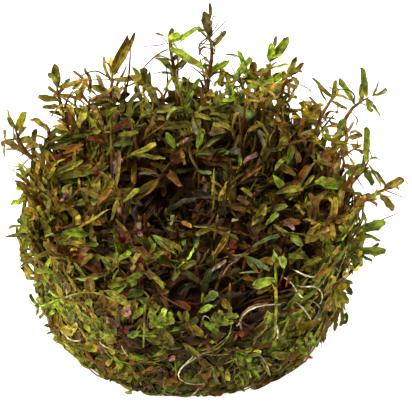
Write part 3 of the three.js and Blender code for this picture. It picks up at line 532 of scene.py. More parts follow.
def family_at(place, random):
    """Which family of leaves grows at a place: neighbours are mostly alike."""
    near = near_each(STANDOUTS, place)
    if near.max() > random.uniform(0.3, 1.1):
        return STANDOUT_FAMILIES[int(near.argmax())]
    aged = 0.4 * smooth_step(place[2], 24, 32) * smooth_step(abs(place[0]), 8, 26) - 0.1 * (place[2] < 9)
    aged += 0.26 * smooth_step(place[2], 34, 44)
    share = 0.5 + aged + 1.3 * (patch(place, 6.0, 17.0) - 0.5) + random.normal(0, 0.26)
    below = np.cumsum(list(FAMILY_SHARES.values()))
    return list(FAMILY_SHARES)[int(np.searchsorted(below, min(0.999, max(0, share))))]


class Growth:
    """Leaves and stems, noted one by one and then made as one mesh."""

    def __init__(self, seed):
        self.random = np.random.default_rng(seed)
        self.leaves = {shape: [] for shape in LEAF_SHAPES}
        self.stems = []

    def leaf(self, base, along, above, length, width, colours, curl, sway, shape="lance", slack=FREE):
        """above is where the upper face turns; curl bends the blade there and sway sideways, in radians."""
        twist = self.random.normal(0, 0.2 if slack > HELD and base[2] < 28 else 0.7)
        numbers = (*base, *along, *above, length, width, curl, sway, *colours[0], *colours[1], slack, twist)
        self.leaves[shape].append(numbers)

    def stem(self, points, radius, colours, slack=FREE):
        line = smooth_line(points)
        self.stems.append((line, radius, *colours, slack))
        return line

    def tint(self, family, age, place=None, fade=0.55):
        """A leaf's colours at its base and its tip: no two are alike, and each carries the painted light
        and shade of its place.
        """
        young, old, stem = FAMILIES[family]
        most = {"red": 0.9, "bright": 1.3}.get(family, 9)
        # Painted light and shade of the place: it scales the colour, ages and dusks dark leaves, and washes
        # light ones pale
        lit = 1.0 if place is None else min(painted_light_and_tone(place), most_painted_light(place), most)
        age = min(1, age + 0.5 * (1 - lit))
        vigour = min(1.9, max(0.3, self.random.lognormal(-0.15, 0.45)))
        body = (young * (1 - age) + old * age) * vigour * lit
        dusk = 0.75 * max(0, 0.7 - lit) * self.random.random() ** 1.5
        body = body * (1 - dusk) + (RUST * 0.12 + MOSS * 0.35) * dusk
        washed = min(0.6, fade * max(0, lit - 0.75))
        body = body * (1 - washed) + PAINTED_LIGHT_WASHES[self.random.integers(4)] * washed
        stem = stem * lit
        warm = self.random.beta(1.2, 3)
        base = body * (1 - 0.8 * warm) * 0.8 + stem * 0.7 * warm
        tip = body * self.random.uniform(0.85, 1.2)
        if self.random.random() < 0.22:
            tip = tip * 0.5 + RED * self.random.uniform(0.25, 0.5) * min(lit, 1.2)
        return base, tip

    def pairs(
        self, line, family, start, gap, length, width, slack=FREE, spread=1.1, droop=0.55, wild=0.3,
        thin=0.15, painted_shade=0.0, sideways=0.0,
    ):
        """Opposite leaves up a stem, each pair turned across the one below, with small young ones on top.

        spread and droop are how far they lean out and bend down, wild how uneven they are, thin the share
        that is missing, painted_shade how much darker the lowest are painted, as shade under those above,
        and sideways the share that lies to the stem's sides.
        """
        random = self.random
        reach = np.linalg.norm(np.diff(line, axis=0), axis=1).sum() * (LAST_PAIR - start)
        count = max(2, round(reach / gap))
        turn = random.uniform(0, math.pi)
        for k in range(count + 1):
            base, along, side, other = place_on(line, start + (LAST_PAIR - start) * (k / count) ** 0.85)
            turn += math.pi / 2 + random.normal(0, 0.25)
            rise = k / count
            for half in (0, math.pi):
                if random.random() < thin * (1.4 - rise):
                    continue
                turned = (0 if random.random() < sideways else turn) + half + random.normal(0, wild)
                out = side * math.cos(turned) + other * math.sin(turned)
                lean = spread * (1 - 0.5 * rise**2.5) + random.normal(0, wild)
                way = along * math.cos(lean) + out * math.sin(lean)
                above = along * math.sin(lean) - out * math.cos(lean) + random.normal(0, 0.4, 3)
                reach = length * (1 - 0.35 * rise**4) * random.uniform(0.6, 1.25)
                middle = base + way * reach * 0.5
                if in_gap(middle, 0.7) and random.random() < 0.8:
                    continue
                tip = base + way * reach
                over = math.hypot(tip[0], tip[1]) - wall_radius(base[2], math.atan2(base[1], base[0]))
                if slack > HELD and base[2] > 22 and over > 1 and random.random() < 0.65:
                    continue
                if hides_seen_leaf(base + way * reach * np.array([[0.1], [0.5], [0.9]])):
                    continue
                self.leaf(
                    base, way, above, reach, width * random.uniform(0.7, 1.15),
                    [part * (1 - painted_shade * (1 - rise)) for part in self.tint(family, (1 - rise) * 0.9, middle)],
                    random.normal(-droop, 0.6), random.normal(0, 0.5),
                    random.choice(["lance", "strap", "strap", "spoon", "taper"]),
                    slack + random.uniform(-0.5, 0.7 if base[2] < WALL_TOP else 5),
                )

    def rosette(self, base, facing, count, length, width, family, spread, shape):
        """A whorl of young leaves at a tip, or a sprout, opened towards facing."""
        facing = unit(facing)
        side = unit(np.cross(facing, [0.2, 1.0, 0.35]))
        other = np.cross(facing, side)
        first = self.random.uniform(0, math.pi)
        for k in range(count):
            lean = spread * (1 - 0.25 * (k % 2)) + self.random.normal(0, 0.12)
            way = first + k * 2 * math.pi / count + self.random.normal(0, 0.15)
            out = side * math.cos(way) + other * math.sin(way)
            along = facing * math.cos(lean) + out * math.sin(lean)
            above = facing * math.sin(lean) - out * math.cos(lean)
            long, wide = length * self.random.uniform(0.8, 1.15), width * self.random.uniform(0.85, 1.15)
            colours = self.tint(family, 0.1 + 0.3 * self.random.random())
            self.leaf(base, along, above, long, wide, colours, self.random.normal(-0.5, 0.4), 0.0, shape)


def bent_copies(shape, lines, above, widths, first, last, is_stem, twist):
    """Copies of a spindle along lines of stations, twisted, as points, faces, colours and UVs."""
    rows, faces = shape
    station = rows[:, 0].astype(int)
    along = unit(np.gradient(lines, axis=1))
    side = unit(np.cross(along, above[:, None, :]))
    top = np.cross(side, along)
    turned = twist[:, None, None] * np.linspace(0, 1, lines.shape[1])[None, :, None] ** 1.5
    cos, sin = np.cos(turned), np.sin(turned)
    side, top = side * cos + top * sin, top * cos - side * sin
    points = lines[:, station]
    ragged = np.random.default_rng(len(lines)).uniform(0.8, 1.12, (len(lines), len(rows)))
    points = points + side[:, station] * (rows[:, 1] * widths[:, None] * ragged)[..., None]
    points = points + top[:, station] * (rows[:, 2] * widths[:, None])[..., None]
    points[..., 2] = np.maximum(points[..., 2], 0.1)
    share = station / station.max()
    blend = (share**1.4)[None, :, None]
    colours = first[:, None, :] * (1 - blend) + last[:, None, :] * blend
    across = rows[:, 3] * 0.2 if is_stem else rows[:, 3]
    uvs = np.broadcast_to(np.stack([across, share], axis=1), (len(lines), len(rows), 2))
    step = np.arange(len(lines))[:, None, None] * len(rows)
    faces = (faces[None] + step).reshape(-1, 3)
    return points.reshape(-1, 3), faces, colours.reshape(-1, 3), uvs.reshape(-1, 2)


def leaf_lines(base, along, above, length, curl, sway):
    """The middle line of each leaf, bent towards its upper face and swayed to one side."""
    along = unit(along)
    above = unit(above - along * (above * along).sum(-1, keepdims=True))
    side = np.cross(along, above)
    share = (LEAF_STATIONS[1:] + LEAF_STATIONS[:-1]) / 2
    lift = curl * share
    turn = sway * share
    steps = (
        along[:, None] * (np.cos(lift) * np.cos(turn))[..., None]
        + above[:, None] * np.sin(lift)[..., None]
        + side[:, None] * (np.sin(turn) * np.cos(lift))[..., None]
    )
    steps = unit(steps) * (length * np.diff(LEAF_STATIONS))[..., None]
    lines = np.concatenate([np.zeros((len(base), 1, 3)), np.cumsum(steps, axis=1)], axis=1) + base[:, None]
    waves = np.random.default_rng(len(base)).normal(0, 0.13, lines.shape)
    waves[:, 0] = 0
    return lines + waves * np.minimum(1, length / 7)[..., None], above


def kept_in(lines, slack):
    """Lines pressed to the wall with their own slack, where they have one, and kept in the solids' box."""
    held = np.where((slack > HELD)[:, None, None], pressed(lines, slack[:, None]), lines)
    return np.clip(held, BOX_LOW + [0, 0, 0.3], BOX_HIGH)


LEAF_NUMBERS = [3, 6, 9, 10, 11, 12, 13, 16, 19, 20]  # where each of a leaf's notes but the first starts


def make_piece(name, growth, material, replaces):
    """One mesh object of everything that was noted."""
    made = []
    for shape, leaves in growth.leaves.items():
        if leaves:
            notes = np.split(np.array(leaves), LEAF_NUMBERS, axis=1)
            base, along, above, length, width, curl, sway, first, last, slack, twist = notes
            lines, above = leaf_lines(base, along, above, length, curl, sway)
            lines = kept_in(lines, slack[:, 0])
            is_thread = shape == "thread"
            made.append(bent_copies(
                LEAF_SHAPES[shape], lines, above, width[:, 0], first, last, is_thread, twist[:, 0],
            ))
    if growth.stems:
        lines, radii, first, last, slack = (np.array([stem[k] for stem in growth.stems]) for k in range(5))
        lines = kept_in(lines, slack)
        above = np.cross(unit(lines[:, -1] - lines[:, 0]), [0.31, 0.95, 0.12]) + 1e-3
        made.append(bent_copies(STEM_SHAPE, lines, above, 2 * radii, first, last, True, radii * 0))
    starts = np.concatenate([[0], np.cumsum([len(part[0]) for part in made])])
    points, colours, uvs = (np.concatenate([part[k] for part in made]) for k in (0, 2, 3))
    faces = np.concatenate([part[1] + start for part, start in zip(made, starts)])
    mesh = bpy.data.meshes.new(name)
    mesh.vertices.add(len(points))
    mesh.vertices.foreach_set("co", (points * MM).ravel())
    mesh.loops.add(faces.size)
    mesh.loops.foreach_set("vertex_index", faces.ravel())
    mesh.polygons.add(len(faces))
    mesh.polygons.foreach_set("loop_start", np.arange(0, faces.size, 3))
    mesh.update(calc_edges=True)
    mesh.polygons.foreach_set("use_smooth", np.ones(len(faces), bool))
    margin = (uvs[:, 0] < 0.01) | (uvs[:, 0] > 0.99) | ((uvs[:, 1] % 1 == 0) & (uvs[:, 0] > 0.3))
    ends = np.empty(len(mesh.edges) * 2, int)
    mesh.edges.foreach_get("vertices", ends)
    ends = ends.reshape(-1, 2)
    along_margin = margin[ends].all(axis=1) & ((uvs[ends[:, 0], 0] - uvs[ends[:, 1], 0]) % 1 < 0.6)
    along_rib = (np.abs(uvs[ends, 0] - 0.5) < 0.01).all(axis=1)
    mesh.edges.foreach_set("use_edge_sharp", along_margin | along_rib)
    mesh.uv_layers.new(name="GrowthMap").data.foreach_set("uv", uvs[faces.ravel()].ravel())
    layer = mesh.color_attributes.new(name="growth_colour", type="FLOAT_COLOR", domain="POINT")
    layer.data.foreach_set("color", np.column_stack([colours, np.ones(len(colours))]).ravel())
    mesh.materials.append(material)
    mesh.validate()
    return placed(name, mesh, replaces)


def placed(name, mesh, replaces):
    """A finished mesh as a piece of the clump."""
    piece = bpy.data.objects.new(name, mesh)
    bpy.context.scene.collection.objects.link(piece)
    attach(piece, "root")
    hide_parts(*replaces)
    return piece


def node(tree, kind, settings=(), **inputs):
    """Adds a node with its settings; an input takes a value, or the output socket that it is linked to."""
    made = tree.nodes.new(kind)
    for name, value in dict(settings).items():
        setattr(made, name, value)
    for name, value in inputs.items():
        socket = made.inputs[int(name[1:])] if name[1:].isdigit() else made.inputs[name.replace("_", " ")]
        if isinstance(value, bpy.types.NodeSocket):
            tree.links.new(value, socket)
        else:
            socket.default_value = value
    return made


def new_material(name):
    """An empty node material and its tree."""
    material = bpy.data.materials.new(name)
    material.use_nodes = True
    material.node_tree.nodes.clear()
    return material, material.node_tree


def object_noise(tree, size_mm, detail=3.0, stretch=(1, 1, 1), shift=0.0):
    """Noise on Object coordinates whose patches are about that big."""
    place = node(tree, "ShaderNodeTexCoord")
    scale = [1 / (size_mm * MM) / part for part in stretch]
    place = place.outputs["Object"]
    moved = node(tree, "ShaderNodeMapping", Vector=place, Scale=scale, Location=(shift,) * 3)
    return node(tree, "ShaderNodeTexNoise", Vector=moved.outputs[0], Scale=1.0, Detail=detail).outputs[0]


# A node that runs smoothly from one value to another. Its inputs are what it reads, the two ends of that
# and what it gives at each.
SMOOTH_RANGE = ("ShaderNodeMapRange", {"interpolation_type": "SMOOTHSTEP"})

# How big the leaf's patterns are, in millimetres, as chosen. The photo shows neither its cells nor
# its fine veins, so their real sizes here are typical ones. Cells of about 0.05 mm are too fine to show,
# so the grain is drawn some ten times as coarse. So is the net of fine veins, with meshes of about
# 0.15 mm: it is drawn as streaks of 0.3 mm, just over a pixel, 6.5 of them across a leaf 2 mm wide.
CELL_GRAIN = 0.45
SPOTS = 1.2  # groups of darker cells, drawn coarser than they are, to show
BLOTCHES = 1.8  # rust-coloured dying tissue
DAMPNESS = 2.2  # where the skin is wetter and shines more
PATCHES = 3.5  # lighter and darker parts, about a third of a leaf long
AGED_PARTS = 5.5  # browned parts, about half a leaf long
VEIN_STREAKS = (6.5, 1.4, 0)  # how many of them lie across a leaf and along it
VEIN_CHANGE = 4.0  # they are others this far on, so that no two leaves are alike
# Fibres of about 0.2 mm are finer than a pixel, so they are drawn as coarse as bundles of them, in the
# tangle and in the felt of roots.
TANGLE_FIBRES = 0.9
ROOT_FIBRES = 1.1


def tissue_material(name, roughness, gloss, glow):
    # Living leaf and stem tissue, grown wet: a thin waxy skin over watery flesh. So colours are deep,
    # blades let some light through, and damp highlights break up along the midrib and the fine veins.
    material, tree = new_material(name)
    grown = node(tree, "ShaderNodeAttribute", {"attribute_name": "growth_colour"}).outputs["Color"]
    blade = node(tree, "ShaderNodeUVMap", {"uv_map": "GrowthMap"}).outputs[0]
    across = node(tree, "ShaderNodeSeparateXYZ", Vector=blade)
    from_rib = node(tree, "ShaderNodeMath", {"operation": "SUBTRACT"}, _0=across.outputs[0], _1=0.5)
    from_rib = node(tree, "ShaderNodeMath", {"operation": "ABSOLUTE"}, _0=from_rib.outputs[0]).outputs[0]
    rib = node(tree, *SMOOTH_RANGE, _0=from_rib, _1=0.02, _2=0.1, _3=1.0, _4=0.0).outputs[0]
    patches = object_noise(tree, PATCHES)
    patches = node(tree, *SMOOTH_RANGE, _0=patches, _1=0.35, _2=0.65, _3=0.62, _4=1.3).outputs[0]
    place = node(tree, "ShaderNodeTexCoord").outputs["Object"]
    scaled, multiply_add = {"operation": "SCALE"}, {"operation": "MULTIPLY_ADD"}
    change = 1 / (VEIN_CHANGE * MM)
    place = node(tree, "ShaderNodeVectorMath", scaled, Vector=place, Scale=change).outputs[0]
    veins = node(tree, "ShaderNodeVectorMath", multiply_add, _0=blade, _1=VEIN_STREAKS, _2=place)
    veins = node(tree, "ShaderNodeTexNoise", Vector=veins.outputs[0], Scale=1.0, Detail=2.0).outputs[0]
    streaks = node(tree, *SMOOTH_RANGE, _0=veins, _1=0.32, _2=0.68, _3=0.8, _4=1.18).outputs[0]
    mottle = object_noise(tree, SPOTS, shift=7.3)
    mottle = node(tree, *SMOOTH_RANGE, _0=mottle, _1=0.3, _2=0.7, _3=0.5, _4=1.5).outputs[0]
    lit = node(tree, "ShaderNodeMath", {"operation": "MULTIPLY"}, _0=patches, _1=streaks).outputs[0]
    lit = node(tree, "ShaderNodeMath", {"operation": "MULTIPLY"}, _0=lit, _1=mottle).outputs[0]
    shaded = node(tree, "ShaderNodeVectorMath", scaled, Vector=grown, Scale=lit)
    mix = {"data_type": "RGBA"}
    ageing = object_noise(tree, AGED_PARTS)
    ageing = node(tree, *SMOOTH_RANGE, _0=ageing, _1=0.52, _2=0.74, _3=0.0, _4=0.45).outputs[0]
    aged = node(tree, "ShaderNodeMix", mix, _0=ageing, _6=shaded.outputs[0], _7=(*BROWN * 1.1, 1))
    blotches = object_noise(tree, BLOTCHES, shift=3.1)
    blotches = node(tree, *SMOOTH_RANGE, _0=blotches, _1=0.55, _2=0.7, _3=0.0, _4=0.4).outputs[0]
    aged = node(tree, "ShaderNodeMix", mix, _0=blotches, _6=aged.outputs[2], _7=(*RUST * 0.6, 1)).outputs[2]
    # The margins and the midrib are lightened: partly their paler, thinner tissue and partly a painted
    # highlight
    margin = node(tree, *SMOOTH_RANGE, _0=from_rib, _1=0.36, _2=0.5, _3=0.0, _4=0.4).outputs[0]
    paleness_and_highlight = node(tree, "ShaderNodeMath", multiply_add, _0=rib, _1=0.3, _2=margin).outputs[0]
    thin = node(tree, "ShaderNodeVectorMath", multiply_add, _0=aged, _1=(1.6,) * 3, _2=PALE_EDGE_AND_HIGHLIGHT)
    colour = node(tree, "ShaderNodeMix", mix, _0=paleness_and_highlight, _6=aged, _7=thin.outputs[0]).outputs[2]
    damp = object_noise(tree, DAMPNESS)
    wet, dry = roughness - 0.12, roughness + 0.14
    damp = node(tree, *SMOOTH_RANGE, _0=damp, _1=0.3, _2=0.7, _3=wet, _4=dry).outputs[0]
    height = node(tree, "ShaderNodeMath", multiply_add, _0=rib, _1=-0.5, _2=object_noise(tree, CELL_GRAIN))
    height = height.outputs[0]
    bump = node(tree, "ShaderNodeBump", Strength=0.35, Distance=0.12 * MM, Height=height).outputs[0]
    skin = node(
        tree, "ShaderNodeBsdfPrincipled", Base_Color=colour, Roughness=damp, IOR=1.36,
        Specular_IOR_Level=gloss, Normal=bump,
    )
    flesh = node(tree, "ShaderNodeBsdfTranslucent", Color=colour, Normal=bump)
    both = node(tree, "ShaderNodeMixShader", _0=glow, _1=skin.outputs[0], _2=flesh.outputs[0])
    node(tree, "ShaderNodeOutputMaterial", Surface=both.outputs[0])
    return material


def fibre_material(name, fibres, stops, relief, roughness, ior, gloss):
    """Matted fibres: size, detail and stretch, colours from the deepest to the highest, and relief."""
    material, tree = new_material(name)
    fibres = object_noise(tree, *fibres)
    ramp = node(tree, "ShaderNodeValToRGB", Fac=fibres)
    for stop, (at, colour) in enumerate(stops):
        element = ramp.color_ramp.elements[stop] if stop < 2 else ramp.color_ramp.elements.new(at)
        element.position = at
        element.color = (*colour, 1)
    strength, distance = relief
    bump = node(tree, "ShaderNodeBump", Strength=strength, Distance=distance * MM, Height=fibres).outputs[0]
    skin = node(
        tree, "ShaderNodeBsdfPrincipled", Base_Color=ramp.outputs[0], Roughness=roughness, IOR=ior,
        Specular_IOR_Level=gloss, Normal=bump,
    )
    node(tree, "ShaderNodeOutputMaterial", Surface=skin.outputs[0])
    return material


leaf_tissue = tissue_material("rotala_leaf_living_waxy", 0.42, 0.27, 0.36)
# The same tissue laid flat on the cup's wall: rubbed dull, and too thick together to let much light through
matted_tissue = tissue_material("rotala_leaf_pressed_damp", 0.55, 0.12, 0.1)
# Old stems and leaves inside the clump: damp and dull, brown, and painted near black as the shade deep
# inside
stem_tangle = fibre_material(
    "old_stem_tangle_matted_damp", (TANGLE_FIBRES, 4.0, (1, 1, 3.5)),
    [(0.32, UMBER * 0.5), (0.55, BROWN * 0.25), (0.75, BROWN * 0.6)], (0.8, 0.5), 0.9, 1.5, 0.1,
)
# The felt of roots that the clump stands on: damp fibres, brown where deep and pale on top, with some sheen
root_felt = fibre_material(
    "root_felt_matted", (ROOT_FIBRES, 5.0),
    [(0.3, BROWN * 0.5), (0.5, OCHRE * 0.55), (0.72, PALE * 0.6)], (0.7, 0.4), 0.5, 1.38, 0.5,
)


def turned_body(name, outline, material, replaces, lump, lift=lambda x, y, height: 0):
    """A round body spun from its outline, with an uneven skin."""
    bm = bmesh.new()
    verts = [bm.verts.new((out * MM, 0, height * MM)) for out, height in outline]
    edges = [bm.edges.new(pair) for pair in zip(verts, verts[1:])]
    bmesh.ops.subdivide_edges(bm, edges=edges, cuts=3)
    bmesh.ops.spin(
        bm, geom=bm.verts[:] + bm.edges[:], axis=(0, 0, 1), cent=(0, 0, 0), steps=BODY_SIDES,
        angle=2 * math.pi, use_merge=True,
    )
    bmesh.ops.remove_doubles(bm, verts=bm.verts, dist=0.01 * MM)
    bmesh.ops.recalc_face_normals(bm, faces=bm.faces)
    bm.normal_update()
    for vert in bm.verts:
        swell = noise.fractal(vert.co / (4.5 * MM), 0.8, 2.0, 3)
        x, y, height = vert.co / MM
        keep_flat = min(1, max(0, height - outline[0][1]) / 2)
        vert.co += vert.normal * swell * lump * MM * keep_flat + Vector((0, 0, lift(x, y, height) * MM))
        vert.co = Vector(pressed(np.array(vert.co) / MM, 1.5)) * MM
    bmesh.ops.triangulate(bm, faces=bm.faces)
    mesh = bpy.data.meshes.new(name)
    bm.to_mesh(mesh)
    bm.free()
    mesh.polygons.foreach_set("use_smooth", np.ones(len(mesh.polygons), bool))
    mesh.materials.append(material)
    return placed(name, mesh, replaces)


# The shoots that draw the clump's outline. root is where the stem leaves the tangle, [x, y]. stem holds the
# points that it passes, [right, up, y]: millimetres right of the foot's centre and up the picture, and the
# depth y. Each leaf is [share of the stem, right, up, towards, width]: how far its tip lies from where it
# grows, in the picture's directions. A colour at its end is the tip's, where that stands out.
OUTLINE_SHOOTS = {
    "shoot_far_left": dict(
        root=[-29, 12], stem=[[-35.8, 31.5, 14], [-40, 34.5, 14], [-41.8, 40.2, 14]], family="bronze",
        leaves=[
            [1, -1.6, 3, 1, 1.4], [0.96, 2.8, 5, 1, 2.7], [0.8, 3.4, 0.8, 3, 2.3],
            [0.62, -5, 2.8, 1, 1.9], [0.45, -1, 5, 4, 1.8],
        ],
    ),
    "shoot_left": dict(
        root=[-33, 3], stem=[[-37.5, 24, 6], [-39.2, 28.2, 6]], family="green",
        leaves=[
            [1, -5.6, 3.2, 0, 1], [1, -1.5, 4, 2, 1.6], [1, 1.6, 3, -2, 1.4], [0.8, -3, -1.4, 2, 1.5],
            [0.55, -5.6, -2.6, 2, 1.6],
        ],
    ),
    "shoot_left_low": dict(
        root=[-33, -9], stem=[[-35.6, 11.6, -10], [-37.4, 15, -10]], family="bright",
        leaves=[[1, -3, 3.4, 0, 1.6], [0.9, -6.4, -0.6, 1, 2], [0.75, -3, -3.6, 2, 1.9]],
    ),
    "shoot_left_fork": dict(
        root=[-23, 19], stem=[[-28.8, 37.8, 23], [-30.8, 44.8, 24], [-31.8, 51, 24]], family="bronze",
        leaves=[
            [0.97, -0.6, 6, 1, 2.5], [0.98, 8.6, 2, 2, 1.9, OCHRE * 0.9], [0.8, -5.4, 1, 0, 2],
            [0.72, -4.4, -0.8, 2, 1.9], [0.7, 4.6, -1.6, 2, 1.6], [0.4, -4, 0.6, 2, 2.3],
        ],
    ),
    "shoot_tall_left": dict(
        root=[-16.4, 26], stem=[[-18.4, 40, 30], [-19, 47.8, 31], [-18.2, 54, 31]], family="bronze",
        leaves=[
            [0.98, 3.8, 10.8, 0, 3.2, OCHRE * 0.75], [0.98, 6, 11, 3, 1.5, RED * 0.5],
            [0.93, 7.4, 0.6, 2, 2], [0.93, -7.2, 0.2, 1, 1], [0.7, -5, 2, 2, 2.2],
            [0.6, 5, 1.8, 3, 2.2],
        ],
    ),
    "shoot_star": dict(
        root=[-1.8, 30.6], stem=[[-1.6, 42.8, 33], [-2, 51.6, 34], [-4, 62, 34]], family="green",
        leaves=[
            [0.98, -8.6, -0.4, 0, 1], [0.98, -2.8, 3.2, -1, 1], [0.98, 0.8, 4.2, 0, 1.7],
            [0.98, 8, 4.2, 2, 1.9, LIME * 0.8], [0.95, 8.4, -5.6, 3, 2.8, GREEN * 1.3],
            [0.68, -3.6, 2.6, 1, 1.9], [0.68, 3.6, 2.8, 2, 1.9],
        ],
    ),
    "shoot_crown": dict(
        root=[5.6, 30.6], stem=[[5.2, 42.8, 34], [5.6, 52.8, 36], [7.2, 60, 36], [6, 64, 36]],
        family="olive",
        leaves=[
            [0.98, -1.4, 6.4, 0, 2.4, MOSS], [0.98, 0.2, 8.6, 1, 1.1],
            [0.96, -0.6, 4.4, 2, 1.9, PALE * 0.8], [0.86, 3.8, 4, 1, 1.9], [0.4, -7, 2.2, 3, 3.2],
            [0.6, 5, 3, 2, 1.8], [0.9, 4.4, 5.4, -3, 1], [0.97, 3.4, 6.6, -3, 1],
            [0.97, -3.4, -3, 1, 1], [0.9, -3.6, 0.4, 1, 1], [0.97, 1.4, -5, 2, 1],
        ],
    ),
    "shoot_back_right": dict(
        root=[14.6, 27], stem=[[15.4, 42.8, 31], [16.2, 53.6, 32]], family="green",
        leaves=[
            [0.97, -3, 7.4, 0, 1.7], [0.97, -7.4, 1.4, 1, 1.8], [0.97, 6, 3.2, 2, 1.9],
            [0.97, 1.6, 4.2, 3, 2.5], [0.78, -8.4, -4, 1, 1.8], [0.7, 5, -0.6, 3, 2],
            [0.9, -6, 2.4, 1, 1], [0.95, -3, 5.4, 0, 1],
        ],
    ),
    "shoot_pair": dict(
        root=[20.6, 23], stem=[[21, 41.4, 29], [21.2, 57.4, 30]], family="green",
        leaves=[
            [0.98, 1.8, 7, -1, 1.5], [0.98, 4.6, 6.4, 1, 2.7], [0.98, 0, 4.8, 2, 2.3],
            [0.72, 4, 3, 3, 1.8], [0.68, -4, 2.6, 2, 1.9],
        ],
    ),
    "shoot_orange": dict(
        root=[25.5, 16], stem=[[24.4, 41.4, 25], [23.4, 47.6, 26], [25.4, 53.4, 26]], family="bronze",
        leaves=[
            [0.98, 2.4, 5.6, 0, 2.1, MOSS], [0.98, 4.4, 3.8, 2, 1.6, RUST], [0.9, 3.2, -1.2, 1, 1.5],
            [0.97, -8.4, -5.4, 4, 1.3], [0.6, 4.6, -1, 2, 1.6],
        ],
    ),
    "shoot_right_fan": dict(
        root=[28, 13], stem=[[32.2, 37.6, 17], [33.4, 43.4, 18], [36.6, 48, 18]], family="bronze",
        leaves=[
            [0.98, -5.2, 5, 1, 1.7], [0.98, 1, 4.6, 0, 1.4], [0.95, 3.8, -2.4, 2, 1.6],
            [0.7, -4.6, 2, 2, 2.2], [0.55, -4, -1.6, 3, 2.1],
        ],
    ),
    "shoot_far_right": dict(
        root=[31, 8], stem=[[37.4, 35.2, 12], [39, 42, 13], [40.4, 45.8, 14], [45, 47.8, 14]],
        family="green",
        leaves=[
            [0.86, -3.8, 7, 0, 1.9], [0.98, -1.2, 7.8, 0, 2.4, SAGE * 0.8], [0.98, 3.2, -4.8, 1, 1.3],
            [0.98, 1, -2.8, 2, 2.2], [0.72, -2.4, -3.6, 3, 2.2],
        ],
    ),
    "shoot_red_bud": dict(
        root=[33.5, 3], stem=[[36.4, 31.4, 7], [38.4, 34.8, 8], [40.2, 38.2, 8]], family="bronze",
        leaves=[
            [0.98, 3.4, 0.4, 1, 2.3, RED * 0.8], [0.9, -0.8, -3.4, 3, 2.6, RED * 0.6],
            [0.9, -6, -2.6, 1, 1.9], [0.9, -5.6, 1.4, 2, 1.3], [0.6, -5, 1, 3, 2],
        ],
    ),
    "shoot_right_spear": dict(
        root=[34.5, -2], stem=[[40, 26.4, 1], [43, 29, 2], [44.6, 32, 2]], family="olive",
        leaves=[
            [0.98, -0.2, 9, 0, 2, GREEN * 1.2], [0.95, -4.8, -2.2, 2, 2.9], [0.9, 1.8, -4.4, 2, 2.8],
            [0.98, 4.8, -5.4, 0, 1.1], [0.6, -4, 3, 3, 2.2],
        ],
    ),
    "shoot_right_arm": dict(
        root=[34.8, -7], stem=[[43, 22.6, -3], [49, 25.6, -2]], family="khaki",
        leaves=[
            [0.97, 4.8, 2.4, 0, 2.5], [0.9, 3.6, -4.6, 1, 2.2], [0.97, 6.2, -2.2, 0, 1],
            [0.7, -3, -3.4, 3, 2.4], [0.5, 1.4, 5, 2, 2],
        ],
    ),
    "shoot_right_green": dict(
        root=[34.4, -12], stem=[[38.8, 14, -10], [42.6, 15.6, -9]], family="bright",
        leaves=[
            [0.97, 6.6, 2, 0, 3], [0.97, 10.4, 4.4, -1, 1], [0.9, 6.2, -2.4, 1, 2],
            [0.6, -1, 5, 3, 2.2],
        ],
    ),
    "shoot_right_low": dict(
        root=[32, -17.5], stem=[[37.4, 8.6, -14], [41, 10.6, -13]], family="bright",
        leaves=[
            [0.97, 8.2, 0.2, 0, 2.5], [0.97, 5, -2.6, 2, 1.2], [0.9, 1.2, -4.6, 2, 3],
            [0.6, -3, 4, 3, 2.3],
        ],
    ),
    "shoot_corner": dict(
        root=[27, -21.5], stem=[[34.2, 0.6, -23.5], [36.8, 2.2, -22.5]], family="khaki",
        leaves=[
            [0.97, 1, -5.2, 1, 2.7], [0.97, 3, -4.4, -1, 2.2], [0.9, 3.8, 1, 1, 2.9],
            [0.7, -2, 4.8, 2, 2.3],
        ],
    ),
    "shoot_big_leaf": dict(
        root=[-13.8, 1.4], stem=[[-15.8, 22.8, 2.2], [-16.8, 25.6, 3.4]], family="khaki",
        leaves=[
            [0.5, 8.6, 7.2, 1, 2.7, OLIVE * 0.9], [0.97, 0.2, 10, 0, 1.5, PINK * 0.4],
            [0.97, -4.4, 4.4, 2, 2.2, RED * 0.6], [0.8, 6, -2.8, 3, 1.7],
            [0.8, -6, -2, 3, 2.2, KHAKI * 0.5],
        ],
    ),
}
